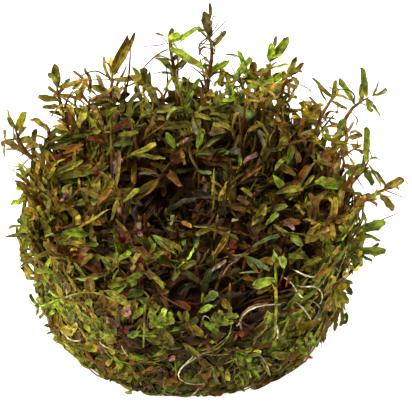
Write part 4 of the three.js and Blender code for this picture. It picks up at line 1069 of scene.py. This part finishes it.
# Dead threads and bare twigs on those shoots: radius, colour and the points that each passes, as above
DEAD_THREADS = {
    "shoot_crown": [
        (0.22, BROWN, [[5.9, 63.4, 36], [4, 62.4, 36], [3.2, 60.8, 35], [4, 59.2, 35], [5.8, 58, 34.4]]),
        (0.2, MOSS, [[3.4, 60.6, 35], [5, 60.9, 34], [7, 60.5, 35.6]]),
        (0.22, BROWN, [[6, 63.4, 36], [7.4, 62, 36.6], [7.6, 60.4, 36.6], [6.8, 58.8, 36]]),
        (0.16, GREY * 0.7, [[6, 63.8, 36], [7, 68.6, 36], [9.2, 71.4, 35]]),
        (0.16, GREY * 0.7, [[6.2, 63.2, 36], [8.4, 65.4, 35], [11.8, 68.4, 34]]),
        (0.2, MOSS, [[6.4, 57, 36], [4, 56.6, 35], [1.6, 57.2, 34]]),
    ],
    "shoot_star": [
        (0.24, OLIVE, [[-3.8, 60.6, 34], [-6.6, 59.4, 33.4], [-9, 57.4, 33], [-11.6, 54.8, 33]]),
        (0.2, MOSS, [[-2.4, 54, 34], [-5, 55.2, 33], [-8.6, 54.4, 33]]),
    ],
    "shoot_back_right": [
        (0.24, GREEN, [[16.2, 53, 32], [15, 57.6, 32], [12, 59.4, 32], [9.2, 59, 33]]),
        (0.22, BROWN, [[15.8, 50, 32], [12.6, 53.4, 31], [9.6, 55.2, 31], [7.4, 54.8, 32]]),
    ],
    "shoot_orange": [
        (0.34, BROWN * 0.8, [[25.2, 53, 26], [22, 51, 26], [18.6, 49.2, 26], [14.4, 47.4, 27]]),
    ],
    "shoot_tall_left": [
        (0.24, MOSS, [[-18.4, 53, 31], [-22, 55.2, 30], [-25, 54.6, 30], [-27.4, 52.4, 30]]),
        (0.3, BROWN, [[-18.6, 47, 31], [-14.6, 50.6, 31], [-13.8, 56, 31], [-13.4, 62, 31]]),
    ],
    "shoot_far_left": [(0.18, MOSS, [[-38.6, 33.4, 14], [-41, 31, 13], [-44.4, 31.4, 12]])],
    "shoot_far_right": [(0.22, MOSS, [[41, 45.8, 14], [41.6, 48, 14], [40, 49.6, 14], [36.6, 49.4, 14]])],
}
THREAD_UP_TO = 1.05  # a leaf of an outline shoot that is narrower than this is a dead, thread-like one
TIP_OVERLAP = 1.1  # how far an outline shoot's stem passes its top leaves
# Radii of stems at their foot: an outline shoot's, one between the others and a side twig's
OUTLINE_STEM = 0.66
FILLING_STEM = 0.5
TWIG = 0.34


def leaf_to(growth, base, reach, above, width, colours, curl, shape):
    """A leaf whose tip lies at base + reach, bowed on the way."""
    chord = np.linalg.norm(reach)
    along = reach / chord
    above = unit(above - along * (above @ along))
    start = along * math.cos(curl / 2) - above * math.sin(curl / 2)
    lifted = above * math.cos(curl / 2) + along * math.sin(curl / 2)
    growth.leaf(base, start, lifted, chord * (1 + curl**2 / 24), width, colours, curl, 0.0, shape)


def outline_shoot(name, root, stem, family, leaves):
    """A shoot on the clump's outline: the leaves that the photo shows, and finer ones down its stem."""
    growth = Growth(sum(map(ord, name)))
    random = growth.random
    low = np.array([*root, core_top(*root) - 1])
    stem_colour = FAMILIES[family][2] * 0.55 + RUST * 0.4
    points = [low, *[seen(*point) for point in stem]]
    points.append(points[-1] + unit(points[-1] - points[-2]) * TIP_OVERLAP)
    line = growth.stem(points, OUTLINE_STEM, (stem_colour * 0.6, stem_colour * 1.1))
    for share, right, up, towards, width, *tipped in leaves:
        base, along, side, other = place_on(line, share)
        base = base - along * TIP_OVERLAP * smooth_step(share, 0.7, 1)
        above = TOWARDS * 0.75 + along * 0.75 + random.normal(0, 0.12, 3)
        shape = "thread" if width < THREAD_UP_TO else random.choice(["strap", "lance"])
        width = width * (0.35 if shape == "thread" else 0.95)
        reach = RIGHT * right + UP * up + TOWARDS * towards
        grown = growth.tint(family, random.uniform(0, 0.6), base + reach / 2, 0.2)
        colours = [0.8 * grown[0], tipped[0] if tipped else 0.8 * grown[1]]
        leaf_to(growth, base, reach, above, width, colours, random.uniform(0.2, 0.7), shape)
    for radius, colour, route in DEAD_THREADS.get(name, []):
        growth.stem([seen(*point) for point in route], radius, (colour, colour * 0.8))
    # Lower leaves get painted shade
    growth.pairs(line, family, 0.25, 4.2, 7, 1.5, wild=0.4, thin=0.3, painted_shade=0.3)
    base, along, side, other = place_on(line, random.uniform(0.3, 0.65))
    way = random.uniform(0, 2 * math.pi)
    out = side * math.cos(way) + other * math.sin(way)
    tip = base + (along * 0.9 + out * 0.55) * random.uniform(7, 11)
    middle = (base + tip) / 2 + along * 0.8
    twig = growth.stem([base, middle, tip], TWIG, (stem_colour * 0.8, stem_colour * 1.15))
    growth.pairs(twig, family, 0.4, 3.2, 5.5, 1.4, wild=0.4)
    make_piece(f"{name}_grown", growth, leaf_tissue, [name])


def filling_shoot(name):
    """A shoot between the others, along the line of its solid."""
    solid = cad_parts[name].data
    places = np.empty(len(solid.vertices) * 3)
    solid.vertices.foreach_get("co", places)
    places = places.reshape(-1, 3) / MM
    places = places[np.argsort(places[:, 2])]
    foot, tip = places[:4].mean(axis=0), places[-len(places) // 3 :].mean(axis=0)
    growth = Growth(sum(map(ord, name)) * 7)
    family = family_at(tip, growth.random)
    stem_colour = FAMILIES[family][2]
    line = growth.stem([foot, tip], FILLING_STEM, (stem_colour * 0.6, stem_colour * 1.1))
    # Lower leaves get painted shade
    growth.pairs(line, family, 0.2, 2.8, 10, 1.6, painted_shade=0.6)
    make_piece(f"{name}_grown", growth, leaf_tissue, [name])


# How high the top's growth reaches up the picture between the single shoots, at places to the right
TOP_LINE = ([-42, -34, -22, -10, 3, 9, 20, 27, 38, 45], [40, 50, 52, 60, 60, 54, 57, 47, 45, 27])
LEFT_SHOOTS = 95  # how many more stand at the left, where the growth is fuller


def canopy(growth, count, chosen):
    """Shoots over the whole top, in clumps with gaps: level in front, bare-stemmed and loose behind."""
    random = growth.random
    for k in range(count + LEFT_SHOOTS):
        out = 37 * math.sqrt((k + 0.5) / count) if k < count else random.uniform(23, 35)
        turn = k * GOLDEN if k < count else math.pi + random.uniform(-0.65, 0.5)
        x, y = out * math.cos(turn) + random.normal(0, 1), out * math.sin(turn) + random.normal(0, 1)
        behind = how_far_behind(y)
        clump = patch([x, y, 0], 6.0, 40.0)
        is_bare = clump < 0.38 + 0.06 * behind or (from_hollow(x, y) < 1.1 and random.random() < 0.9)
        if not chosen(x, y) or (is_bare and k < count):
            continue
        if out > 25 and x > -20 and random.random() < 0.35 * behind:
            continue
        low = np.array([x, y, core_top(x, y) - 1.5])
        height = CANOPY_HEIGHT + CANOPY_RISE * behind + random.normal(0, 2 + 2 * behind)
        height = height + 12 * (clump - 0.58)
        rise = max(height - canopy_dip(x, y) - low[2], 4)
        flow = 4 * math.pi * patch([x, y, 0], 12.0, 90.0)
        level = np.array([math.cos(flow), math.sin(flow)]) * rise * random.uniform(0.6, 2) * (1 - behind)
        lean = np.array([x, y]) / 40 * 0.22 * rise + level + random.normal(0, 0.2 * rise, 2)
        high = low + [*lean, rise]
        high[2] -= max(0, high @ UP + 2.5 - np.interp(high[0], *TOP_LINE)) / UP[2]
        near_tip = np.array([high, high * 0.8 + low * 0.2])
        if in_gap(high, 0.8) or high[2] < low[2] + 4 or hides_seen_leaf(near_tip):
            continue
        family = family_at(high, random)
        stem_colour = (FAMILIES[family][1] + FAMILIES[family][1 + (behind > 0.3)]) / 2
        # Stems take the painted light and shade at their tops, and are darker in front than behind
        stem_colour = stem_colour * painted_light_and_tone(high) * (0.4 + 0.4 * behind)
        middle = (low + high) / 2 + [*random.normal(0, 1.5, 2), 0]
        radius = random.uniform(0.32, 0.5 + 0.2 * behind)
        is_free = random.random() < 0.6 * behind
        held = FREE if is_free else random.choice([-0.2, 0.6, 1.5]) + 1.5 * (x < -24)
        line = growth.stem([low, middle, high], radius, (stem_colour * 0.7, stem_colour * 1.1), held)
        length, width = random.uniform(7.5, 12.5), random.uniform(1.1, 2.1)
        # Painted shade on the lower leaves, less at the sides and behind
        shaded = 0.65 - 0.5 * max(smooth_step(-x, 14, 26), smooth_step(x, 20, 32), 0.6 * behind)
        gap = random.uniform(2.8, 3.8) + 0.4 * behind
        growth.pairs(
            line, family, 0.2 + 0.35 * behind, gap, length, width, held, spread=0.75 + 0.3 * behind,
            droop=0.7 + 0.2 * behind, thin=0.15 + 0.2 * behind, painted_shade=shaded,
            sideways=0.65 * (1 - behind) * (x < 22),
        )


def litter(growth, count):
    """Old brown leaves and stems that lie on top of the tangle."""
    random = growth.random
    for _ in range(count):
        out, turn = 35 * math.sqrt(random.random()), random.uniform(0, 2 * math.pi)
        x, y = out * math.cos(turn), out * math.sin(turn)
        base = np.array([x, y, core_top(x, y) + random.uniform(-0.5, 4)])
        way = random.uniform(0, 2 * math.pi)
        along = np.array([math.cos(way), math.sin(way), random.normal(0.1, 0.3)])
        family = random.choice(["olive", "bronze", "red"])
        above = random.normal(0, 0.4, 3) + [0, 0, 1]
        length, width = random.uniform(6, 11), random.uniform(1.3, 2.1)
        # Painted shade: litter is darker towards the middle, under the top growth
        painted_shade = 0.45 + 0.6 * smooth_step(out, 16, 30)
        colours = [part * painted_shade for part in growth.tint(family, 0.9, base)]
        curl, sway = random.normal(0, 0.5), random.normal(0, 0.4)
        growth.leaf(base, along, above, length, width, colours, curl, sway, slack=0.3)


def on_wall(turn, height, depth):
    """A place that deep inside the cup's wall, with the ways out and along the wall there."""
    radial = np.array([math.cos(turn), math.sin(turn), 0])
    level = np.array([-radial[1], radial[0], 0])
    return radial * (wall_radius(height, turn) - depth) + [0, 0, height], radial, level


def wall_way(turn, height, random):
    """Which way growth runs on the wall there, as an angle from level: the cup laid it mostly level."""
    upright = smooth_step(patch([turn * 6, height, 0], 4.0, 60.0), 0.52, 0.62)
    return math.radians(12 + 68 * upright) + random.normal(0, 0.4) + random.choice([0, math.pi])


def is_wall_gap(place, radial):
    """Whether the wall's leaves leave a dark gap there."""
    return patch(place, 4.0, 80.0) < 0.3 or (radial[1] < 0.3 and in_gap(place, 0.9))


def wall_leaves(growth, count, depths, lengths, widths, shade=1.0, heights=(0.6, 28.6), tilt=0.3):
    """Single leaves laid on each other against the cup's wall; finer low down."""
    random = growth.random
    for k in range(count):
        turn = (k * EVEN[0]) % 1 * 2 * math.pi
        height = heights[0] + (heights[1] - heights[0]) * ((k * EVEN[1]) % 1)
        depth = random.uniform(*depths)
        place, radial, level = on_wall(turn, height, depth)
        if shade == 1 and is_wall_gap(place, radial):
            continue
        way = wall_way(turn, height, random)
        along = level * math.cos(way) + [0, 0, math.sin(way)] + radial * random.uniform(-0.1, 0.2)
        size = 0.8 + 0.4 * height / 28
        length = random.uniform(*lengths) * size
        lit_at = place + along * length / 2
        family = family_at(lit_at, random)
        colours = [part * shade for part in growth.tint(family, random.uniform(0, 0.9), lit_at)]
        above, width = radial + random.normal(0, tilt, 3), random.uniform(*widths) * size
        curl, sway = random.normal(0, 0.4), random.normal(0, 0.6)
        shape = random.choice(["lance", "taper", "strap", "spoon"])
        slack = min(depth * 0.6, 1) - 0.35 + random.uniform(-0.4, 0.6)
        growth.leaf(place, along, above, length, width, colours, curl, sway, shape, slack)


def wall_threads(growth, count):
    """Thin bare stems and roots that the wall pressed across the leaves."""
    random = growth.random
    for k in range(count):
        turn, height = (k * EVEN[0]) % 1 * 2 * math.pi, 0.8 + 27 * ((k * EVEN[1]) % 1)
        place, radial, level = on_wall(turn, height, -0.2)
        if is_wall_gap(place, radial):
            continue
        way = wall_way(turn, height, random) + random.normal(0, 0.5)
        reach = random.uniform(4, 11)
        along = level * math.cos(way) + [0, 0, math.sin(way)]
        bend = (level * math.sin(way) - [0, 0, math.cos(way)]) * random.normal(0, 0.22) * reach
        colour = (PALE, KHAKI, KHAKI, FRESH, RUST, OCHRE)[random.integers(6)]
        # Painted light and shade of the place
        colour = colour * random.uniform(0.6, 1.1) * min(1, painted_light_and_tone(place))
        end = place + along * reach - radial
        points = [place - radial * 1.5, place, place + along * reach / 2 + bend, end]
        growth.stem(points, random.uniform(0.14, 0.28), (colour, colour * 0.85), random.uniform(-0.8, -0.2))


def wall_sprigs(growth, count, chosen):
    """Small leafy stems that climb the wall, their leaves pressed on it; some at the sides hang loose."""
    random = growth.random
    for k in range(count):
        turn, height = k * GOLDEN, 0.8 + 26 * ((k * EVEN[1]) % 1)
        depth = random.uniform(0, 1.3)
        place, radial, level = on_wall(turn, height, depth)
        if not chosen(radial[1]) or is_wall_gap(place, radial):
            continue
        is_loose = height > 11 and random.random() < 0.1 + 0.25 * abs(radial[0]) ** 4
        way = wall_way(turn, height, random)
        along = level * math.cos(way) + [0, 0, math.sin(way)] + radial * (0.8 if is_loose else 0.05)
        reach = random.uniform(4.5, 10) * (0.75 + 0.25 * height / 27)
        bend = (level * math.sin(way) - [0, 0, math.cos(way)]) * random.normal(0, 0.14) * reach
        slack = -3.5 if is_loose else depth * 0.5 - 0.2
        family = family_at(place, random)
        # Painted light and shade of the place
        stem_colour = FAMILIES[family][2] * painted_light_and_tone(place) * random.uniform(0.6, 1.2)
        points = [place, place + along * reach * 0.5 + bend, place + along * reach]
        line = growth.stem(points, random.uniform(0.2, 0.42), (stem_colour * 0.8, stem_colour), slack)
        width = random.uniform(1.0, 1.9)
        length = width * random.uniform(3.6, 5.4)
        growth.pairs(line, family, 0.12, 2.6, length, width, slack - 0.1, spread=0.75, droop=0.3, wild=0.35)


def wall_buds(growth, groups):
    """Small round young leaves that were squeezed between the stems and the wall."""
    random = growth.random
    for _ in range(groups):
        turn, height = random.uniform(0, 2 * math.pi), random.uniform(1.5, 29)
        place, radial, _ = on_wall(turn, height, 0.4)
        family = random.choice(["bright", "green", "bright", "red", "bronze"])
        facing = radial + random.normal(0, 0.5, 3)
        count, length = random.integers(2, 5), random.uniform(1.6, 3)
        growth.rosette(place, facing, count, length, 1.1, family, 0.9, "oval")


# What stands out on the front and the top, by its place in the picture: [right, up] of the foot's centre.
# Sprouts of young leaves: [right, up, how many leaves, length, width, family]
SPROUTS = [
    [8.8, -6.8, 6, 3.2, 2.2, "bright"], [-5, -7.2, 6, 3.2, 2.4, "bright"],
    [12.5, -14.8, 6, 3.6, 2, "bright"], [16.2, -18.5, 6, 3.4, 1.8, "bright"],
    [13.8, -21, 5, 3, 1.6, "green"], [-14, 3, 4, 5, 2.4, "green"], [-30, 4, 5, 4, 1.8, "green"],
    [-21, -9, 5, 3.4, 1.6, "green"], [27, -12, 5, 3.4, 1.6, "green"],
]
# Pink and red buds and young leaves: [right, up, how many, length, width, colour]
BUDS = [
    [-30, 22.3, 2, 3.4, 1.5, PINK], [-17.5, 31, 2, 4.4, 1.8, PINK], [-0.5, 35.4, 2, 3, 1.6, PINK],
    [-21.2, 28.2, 2, 2.6, 1.3, RED], [-11.2, 14.8, 3, 2.8, 1.5, PINK], [-15, 12, 4, 3, 1.3, RED],
    [11.2, 10.2, 4, 3.2, 1.4, RED * 0.8], [-3.8, -16.8, 2, 3, 1.6, PINK], [-14.2, -5, 3, 2.6, 1.5, PINK],
    [-18.2, -7.5, 2, 2.4, 1.2, PINK], [-14.8, -9, 3, 2.4, 1.2, RED], [5, 26.5, 2, 3, 1.4, PINK],
    [-35, 4, 2, 2.4, 1.2, RED],
]
# Bare roots and thin stems that lie on the growth: radius, colour and their route, [right, up]
STRANDS = [
    (0.2, PALE * 0.9, [[13, -9.5], [13.8, -5.2], [17.5, -3.4], [21.5, -2.8], [25, -3.6]]),
    (0.22, PALE, [[28.5, 4.5], [31, 3.2], [33, 4], [34.6, 1.5]]),
    (0.2, PALE, [[29, 0.5], [31.5, 1.8], [34, -0.5], [33, -4]]),
    (0.22, PALE, [[28, -3], [30, -5.5], [31, -7.5]]),
    (0.2, PALE, [[26, 2.5], [28, -1], [29.5, -1.8]]),
    (0.18, PALE * 0.85, [
        [3, -15.2], [-1.4, -18.6], [-2.5, -20.8], [-0.5, -22.6], [3.8, -23], [6.8, -22.4],
    ]),
    (0.2, KHAKI, [[3.6, -15.4], [7, -14.2], [10, -12.4], [11.8, -7.6]]),
    (0.3, PALE, [[22, -7], [22.6, -9.6], [22.4, -12]]),
    (0.22, KHAKI, [[17.4, -11.2], [19, -9.4], [20.4, -8.2]]),
    (0.22, KHAKI, [[18, -15], [19, -18], [21, -21]]),
    (0.42, KHAKI, [[22.5, 2], [22.3, -4], [21.7, -12.4]]),
    (0.3, KHAKI * 0.75, [[-10, -3], [-9.8, -8], [-10.2, -14.6]]),
    (0.24, KHAKI, [[-30.4, -1.8], [-25.5, 0], [-21, 0.4], [-16, -3.6]]),
    (0.34, TAN * 0.7, [[14, 8], [10.6, 6.6], [9, 3]]),
    (0.26, RUST * 0.5, [[-7, -0.5], [-2.5, -2.8], [1.5, -5]]),
]


def carried_place(right, up, out_by):
    """A place on the outside, the way out there, and the place in the old tangle where its stem starts."""
    place = front_place(right, up)
    out = math.hypot(place[0], place[1])
    if place[2] > WALL_TOP or out < 33:  # on the top, above the wall
        inside = np.array([place[0] * 0.94, place[1] * 0.94 + 1, core_top(place[0], place[1]) - 1])
        facing = unit(np.array([place[0] / 40, place[1] / 40 - 0.4, 1.0]))
    else:
        facing = unit(np.array([place[0], place[1], 12.0]))
        inside = place - facing * 5
    return place + facing * out_by, facing, inside


def front_details(growth):
    """The sprouts, buds, roots and bare stems that the photo shows on the front and the top."""
    random = growth.random
    for right, up, count, length, width, family in SPROUTS:
        place, facing, inside = carried_place(right, up, 0.8)
        colour = FAMILIES[family][2] * 0.8
        for _ in range(3):
            aside = random.normal(0, 0.3 * length, 3)
            tip = place + aside - facing * (aside @ facing) + facing * random.uniform(0, 1)
            growth.stem([inside, place - facing * 0.8 + [0, 0, 0.4], tip], 0.36, (colour * 0.5, colour))
            opened = facing + TOWARDS * 0.3 + random.normal(0, 0.4, 3)
            spread = random.uniform(0.6, 1.2)
            growth.rosette(tip, opened, count - 2, length * 1.05, width * 0.62, family, spread, "strap")
    for right, up, count, length, width, colour in BUDS:
        place, facing, inside = carried_place(right, up, 1.0)
        growth.stem([inside, place - facing + [0, 0, 0.3], place], 0.32, (RUST * 0.5, RUST))
        for _ in range(count):
            way = unit(facing * 0.5 + UP * 0.7 + random.normal(0, 0.6, 3))
            shape = "bud" if count < 3 else "oval"
            tints = (colour * 0.5, colour * 0.8)
            growth.leaf(place, way, TOWARDS, length * 0.85, width * 0.85, tints, 0.4, 0.0, shape)
    for radius, colour, route in STRANDS:
        places = [carried_place(right, up, 1.1)[0] for right, up in route]
        ends = [place - unit(np.array([place[0], place[1], 10.0])) * 3 for place in (places[0], places[-1])]
        growth.stem([ends[0], *places, ends[1]], radius, (colour, colour * 0.9))


def seen_growth(growth):
    """The leaves and stems that the photo shows most plainly, each grown from the tangle under it."""
    random = growth.random
    for x0, y0, x1, y1, width, colour, light in SEEN_LEAVES:
        place, _, inside = carried_place(*from_pixel(x0, y0), 0.6)
        end = carried_place(*from_pixel(x1, y1), 0.8)[0]
        (right0, up0), (right1, up1) = from_pixel(x0, y0), from_pixel(x1, y1)
        towards = np.clip((end - place) @ TOWARDS, -2.5, 2.5) if end[2] > 0 else up0 - up1
        reach = RIGHT * (right1 - right0) + UP * (up1 - up0) + TOWARDS * towards
        stem = OLIVE * 0.5 * light
        middle = (inside + place) / 2 + random.normal(0, 0.5, 3)
        growth.stem([inside, middle, place], 0.4, (stem * 0.6, stem))
        shape = "taper" if width < 4 else random.choice(["lance", "strap"])
        colours = (colour * light * random.uniform(0.5, 0.8), colour * light)
        above = TOWARDS + UP * 0.3 + random.normal(0, 0.25, 3)
        leaf_to(growth, place, reach, above, width / 4, colours, random.uniform(-0.5, 0.6), shape)
        beside = reach * random.uniform(0.6, 0.9) + random.normal(0, 0.22, 3) * np.linalg.norm(reach)
        beside = beside - TOWARDS * 0.5
        dull = [part * random.uniform(0.4, 0.9) for part in growth.tint("olive", 0.5, place)]
        under, curl = place - TOWARDS * 0.4, random.uniform(-0.5, 0.6)
        leaf_to(growth, under, beside, above, width / 6, dull, curl, "lance")
    for radius, colour, light, route in SEEN_STEMS:
        places = [carried_place(*from_pixel(*pixel), 0.4) for pixel in route]
        is_upright = route[0][1] < WALL_TOP_PIXEL
        deepest = min(place[0] @ TOWARDS for place in places) if is_upright else 99
        points = [place[0] - TOWARDS * max(0, place[0] @ TOWARDS - deepest) for place in places]
        growth.stem([places[0][2], *points], radius, (colour * light * 0.6, colour * light))


def root_strands(growth, count):
    """Pale and brown roots that wander under the clump and round its rim."""
    random = growth.random
    for k in range(count):
        out, turn = 31.5 * math.sqrt((k + 0.5) / count), k * GOLDEN
        way = random.uniform(0, 2 * math.pi)
        points = [np.array([out * math.cos(turn), out * math.sin(turn), random.uniform(0.5, 1)])]
        for _ in range(3):
            way += random.normal(0, 0.7)
            step = [2.6 * math.cos(way), 2.6 * math.sin(way), random.uniform(-0.1, 0.1)]
            points.append(points[-1] + step)
        points = [np.array([*p[:2] * min(1, 33 / max(np.hypot(*p[:2]), 1)), p[2]]) for p in points]
        colour = (PALE if random.random() < 0.45 else OCHRE * 0.8) * random.uniform(0.5, 1)
        growth.stem(points, random.uniform(0.16, 0.32), (colour, colour * 0.85))


# How many of each are tried. Growth on the wall and the top is left out again where a dark gap shows.
INNER_LEAVES = 2300
LITTER = 520
WALL_LEAVES = 1300
FOOT_LEAVES = 360
WALL_THREADS = 420
WALL_BUDS = 110
WALL_SPRIGS = 380
TOP_SHOOTS = 640
ROOTS = 420

for name, shoot in OUTLINE_SHOOTS.items():
    outline_shoot(name, **shoot)
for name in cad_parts:
    if name not in OUTLINE_SHOOTS and name.startswith("shoot_"):
        filling_shoot(name)

turned_body("old_stem_tangle", CORE_OUTLINE, stem_tangle, ["leaf_mat"], 0.8, core_lift)
inner = Growth(31)
wall_leaves(inner, INNER_LEAVES, (0.6, 1.7), (5, 9), (1.8, 3), 0.55, (0.3, 28.6), 0.2)
litter(inner, LITTER)
make_piece("matted_inner_leaves", inner, matted_tissue, ["leaf_mat"])
outer = Growth(34)
wall_leaves(outer, WALL_LEAVES, (0, 1.2), (4, 9), (0.9, 1.7))
wall_leaves(outer, FOOT_LEAVES, (0, 0.9), (5, 9), (0.8, 1.6), 0.8, (0.3, 2.8))
wall_threads(outer, WALL_THREADS)
wall_buds(outer, WALL_BUDS)
make_piece("matted_wall_leaves", outer, matted_tissue, ["leaf_mat"])
for name, seed, chosen in [
    ("front_wall_sprigs", 36, lambda facing: facing < 0),
    ("back_wall_sprigs", 37, lambda facing: facing >= 0),
]:
    climbing = Growth(seed)
    wall_sprigs(climbing, WALL_SPRIGS, chosen)
    make_piece(name, climbing, matted_tissue, ["leaf_mat"])
details = Growth(38)
front_details(details)
seen_growth(details)
make_piece("front_sprouts_and_roots", details, leaf_tissue, ["leaf_mat"])
for name, seed, chosen in [
    ("canopy_front_shoots", 32, lambda x, y: y < 4),
    ("canopy_back_shoots", 35, lambda x, y: y >= 4),
]:
    top = Growth(seed)
    canopy(top, TOP_SHOOTS, chosen)
    make_piece(name, top, leaf_tissue, ["leaf_mat"])

ROOT_OUTLINE = [(0, 0.4), (33.6, 0.4), (34.6, 1.2), (34.6, 2.2), (31, 2.6), (0, 2.6)]
turned_body("root_felt_pad", ROOT_OUTLINE, root_felt, ["root_mat"], 0.4)
strands = Growth(33)
root_strands(strands, ROOTS)
make_piece("root_strands", strands, leaf_tissue, ["root_mat"])


ROOM_WALLS = 0.98  # how bright the room is level with the clump
ROOM_CEILING = 0.3
PAPER_GLOW = 0.85
SHEET_DEPTH = 0.0002  # how far under the foot the sheet lies, in metres
# The soft lamps: name, place and width in metres, and power
LAMPS = [("key", (-0.45, -0.25, 0.7), 0.35, 9.0), ("rim", (0.3, 0.5, 0.5), 0.5, 8.0)]


def studio():
    """A white sheet under the clump, a bright room, and soft lamps at the camera's left and behind."""
    bm = bmesh.new()
    bmesh.ops.create_grid(bm, x_segments=1, y_segments=1, size=1.5)
    mesh = bpy.data.meshes.new("white_sheet")
    bm.to_mesh(mesh)
    bm.free()
    floor = bpy.data.objects.new("white_sheet", mesh)
    floor.location.z = -SHEET_DEPTH
    bpy.context.scene.collection.objects.link(floor)
    # Matt white photographic paper, lit from below as well, so that it stays white round the clump
    material, tree = new_material("photo_paper_white_matt")
    paper = node(
        tree, "ShaderNodeBsdfPrincipled", Base_Color=(*PAPER, 1), Roughness=0.9,
        Emission_Color=(*WHITE, 1), Emission_Strength=PAPER_GLOW,
    )
    node(tree, "ShaderNodeOutputMaterial", Surface=paper.outputs[0])
    mesh.materials.append(material)
    world = bpy.data.worlds.new("bright_room")
    world.use_nodes = True
    # The room's walls are brighter than its ceiling
    tree = world.node_tree
    way = node(tree, "ShaderNodeSeparateXYZ", Vector=node(tree, "ShaderNodeTexCoord").outputs["Generated"])
    up = way.outputs[2]
    strength = node(tree, *SMOOTH_RANGE, _0=up, _1=0.1, _2=0.85, _3=ROOM_WALLS, _4=ROOM_CEILING)
    tree.links.new(strength.outputs[0], tree.nodes["Background"].inputs["Strength"])
    tree.nodes["Background"].inputs["Color"].default_value = (*WHITE, 1)
    bpy.context.scene.world = world
    for name, place, size, power in LAMPS:
        lamp = bpy.data.lights.new(name, "AREA")
        lamp.size = size
        lamp.energy = power
        lamp_object = bpy.data.objects.new(name, lamp)
        lamp_object.location = place
        lamp_object.rotation_euler = (-Vector(place)).to_track_quat("-Z", "Y").to_euler()
        bpy.context.scene.collection.objects.link(lamp_object)


def camera():
    """Looks down at the clump as the photo does, framed by where its foot's centre lies in the picture."""
    data = bpy.data.cameras.new("photo_view")
    data.lens = LENS
    data.sensor_width = SENSOR
    data.clip_end = 20
    place = RIGHT * PICTURE_MIDDLE[0] + UP * PICTURE_MIDDLE[1] + TOWARDS * (VIEW_MIDDLE + AWAY)
    view = bpy.data.objects.new("photo_view", data)
    view.location = Vector(place) * MM
    view.rotation_euler = (math.pi / 2 - VIEW_TILT, 0, 0)
    bpy.context.scene.collection.objects.link(view)
    bpy.context.scene.camera = view


studio()
camera()
bpy.context.scene.view_settings.view_transform = "Standard"
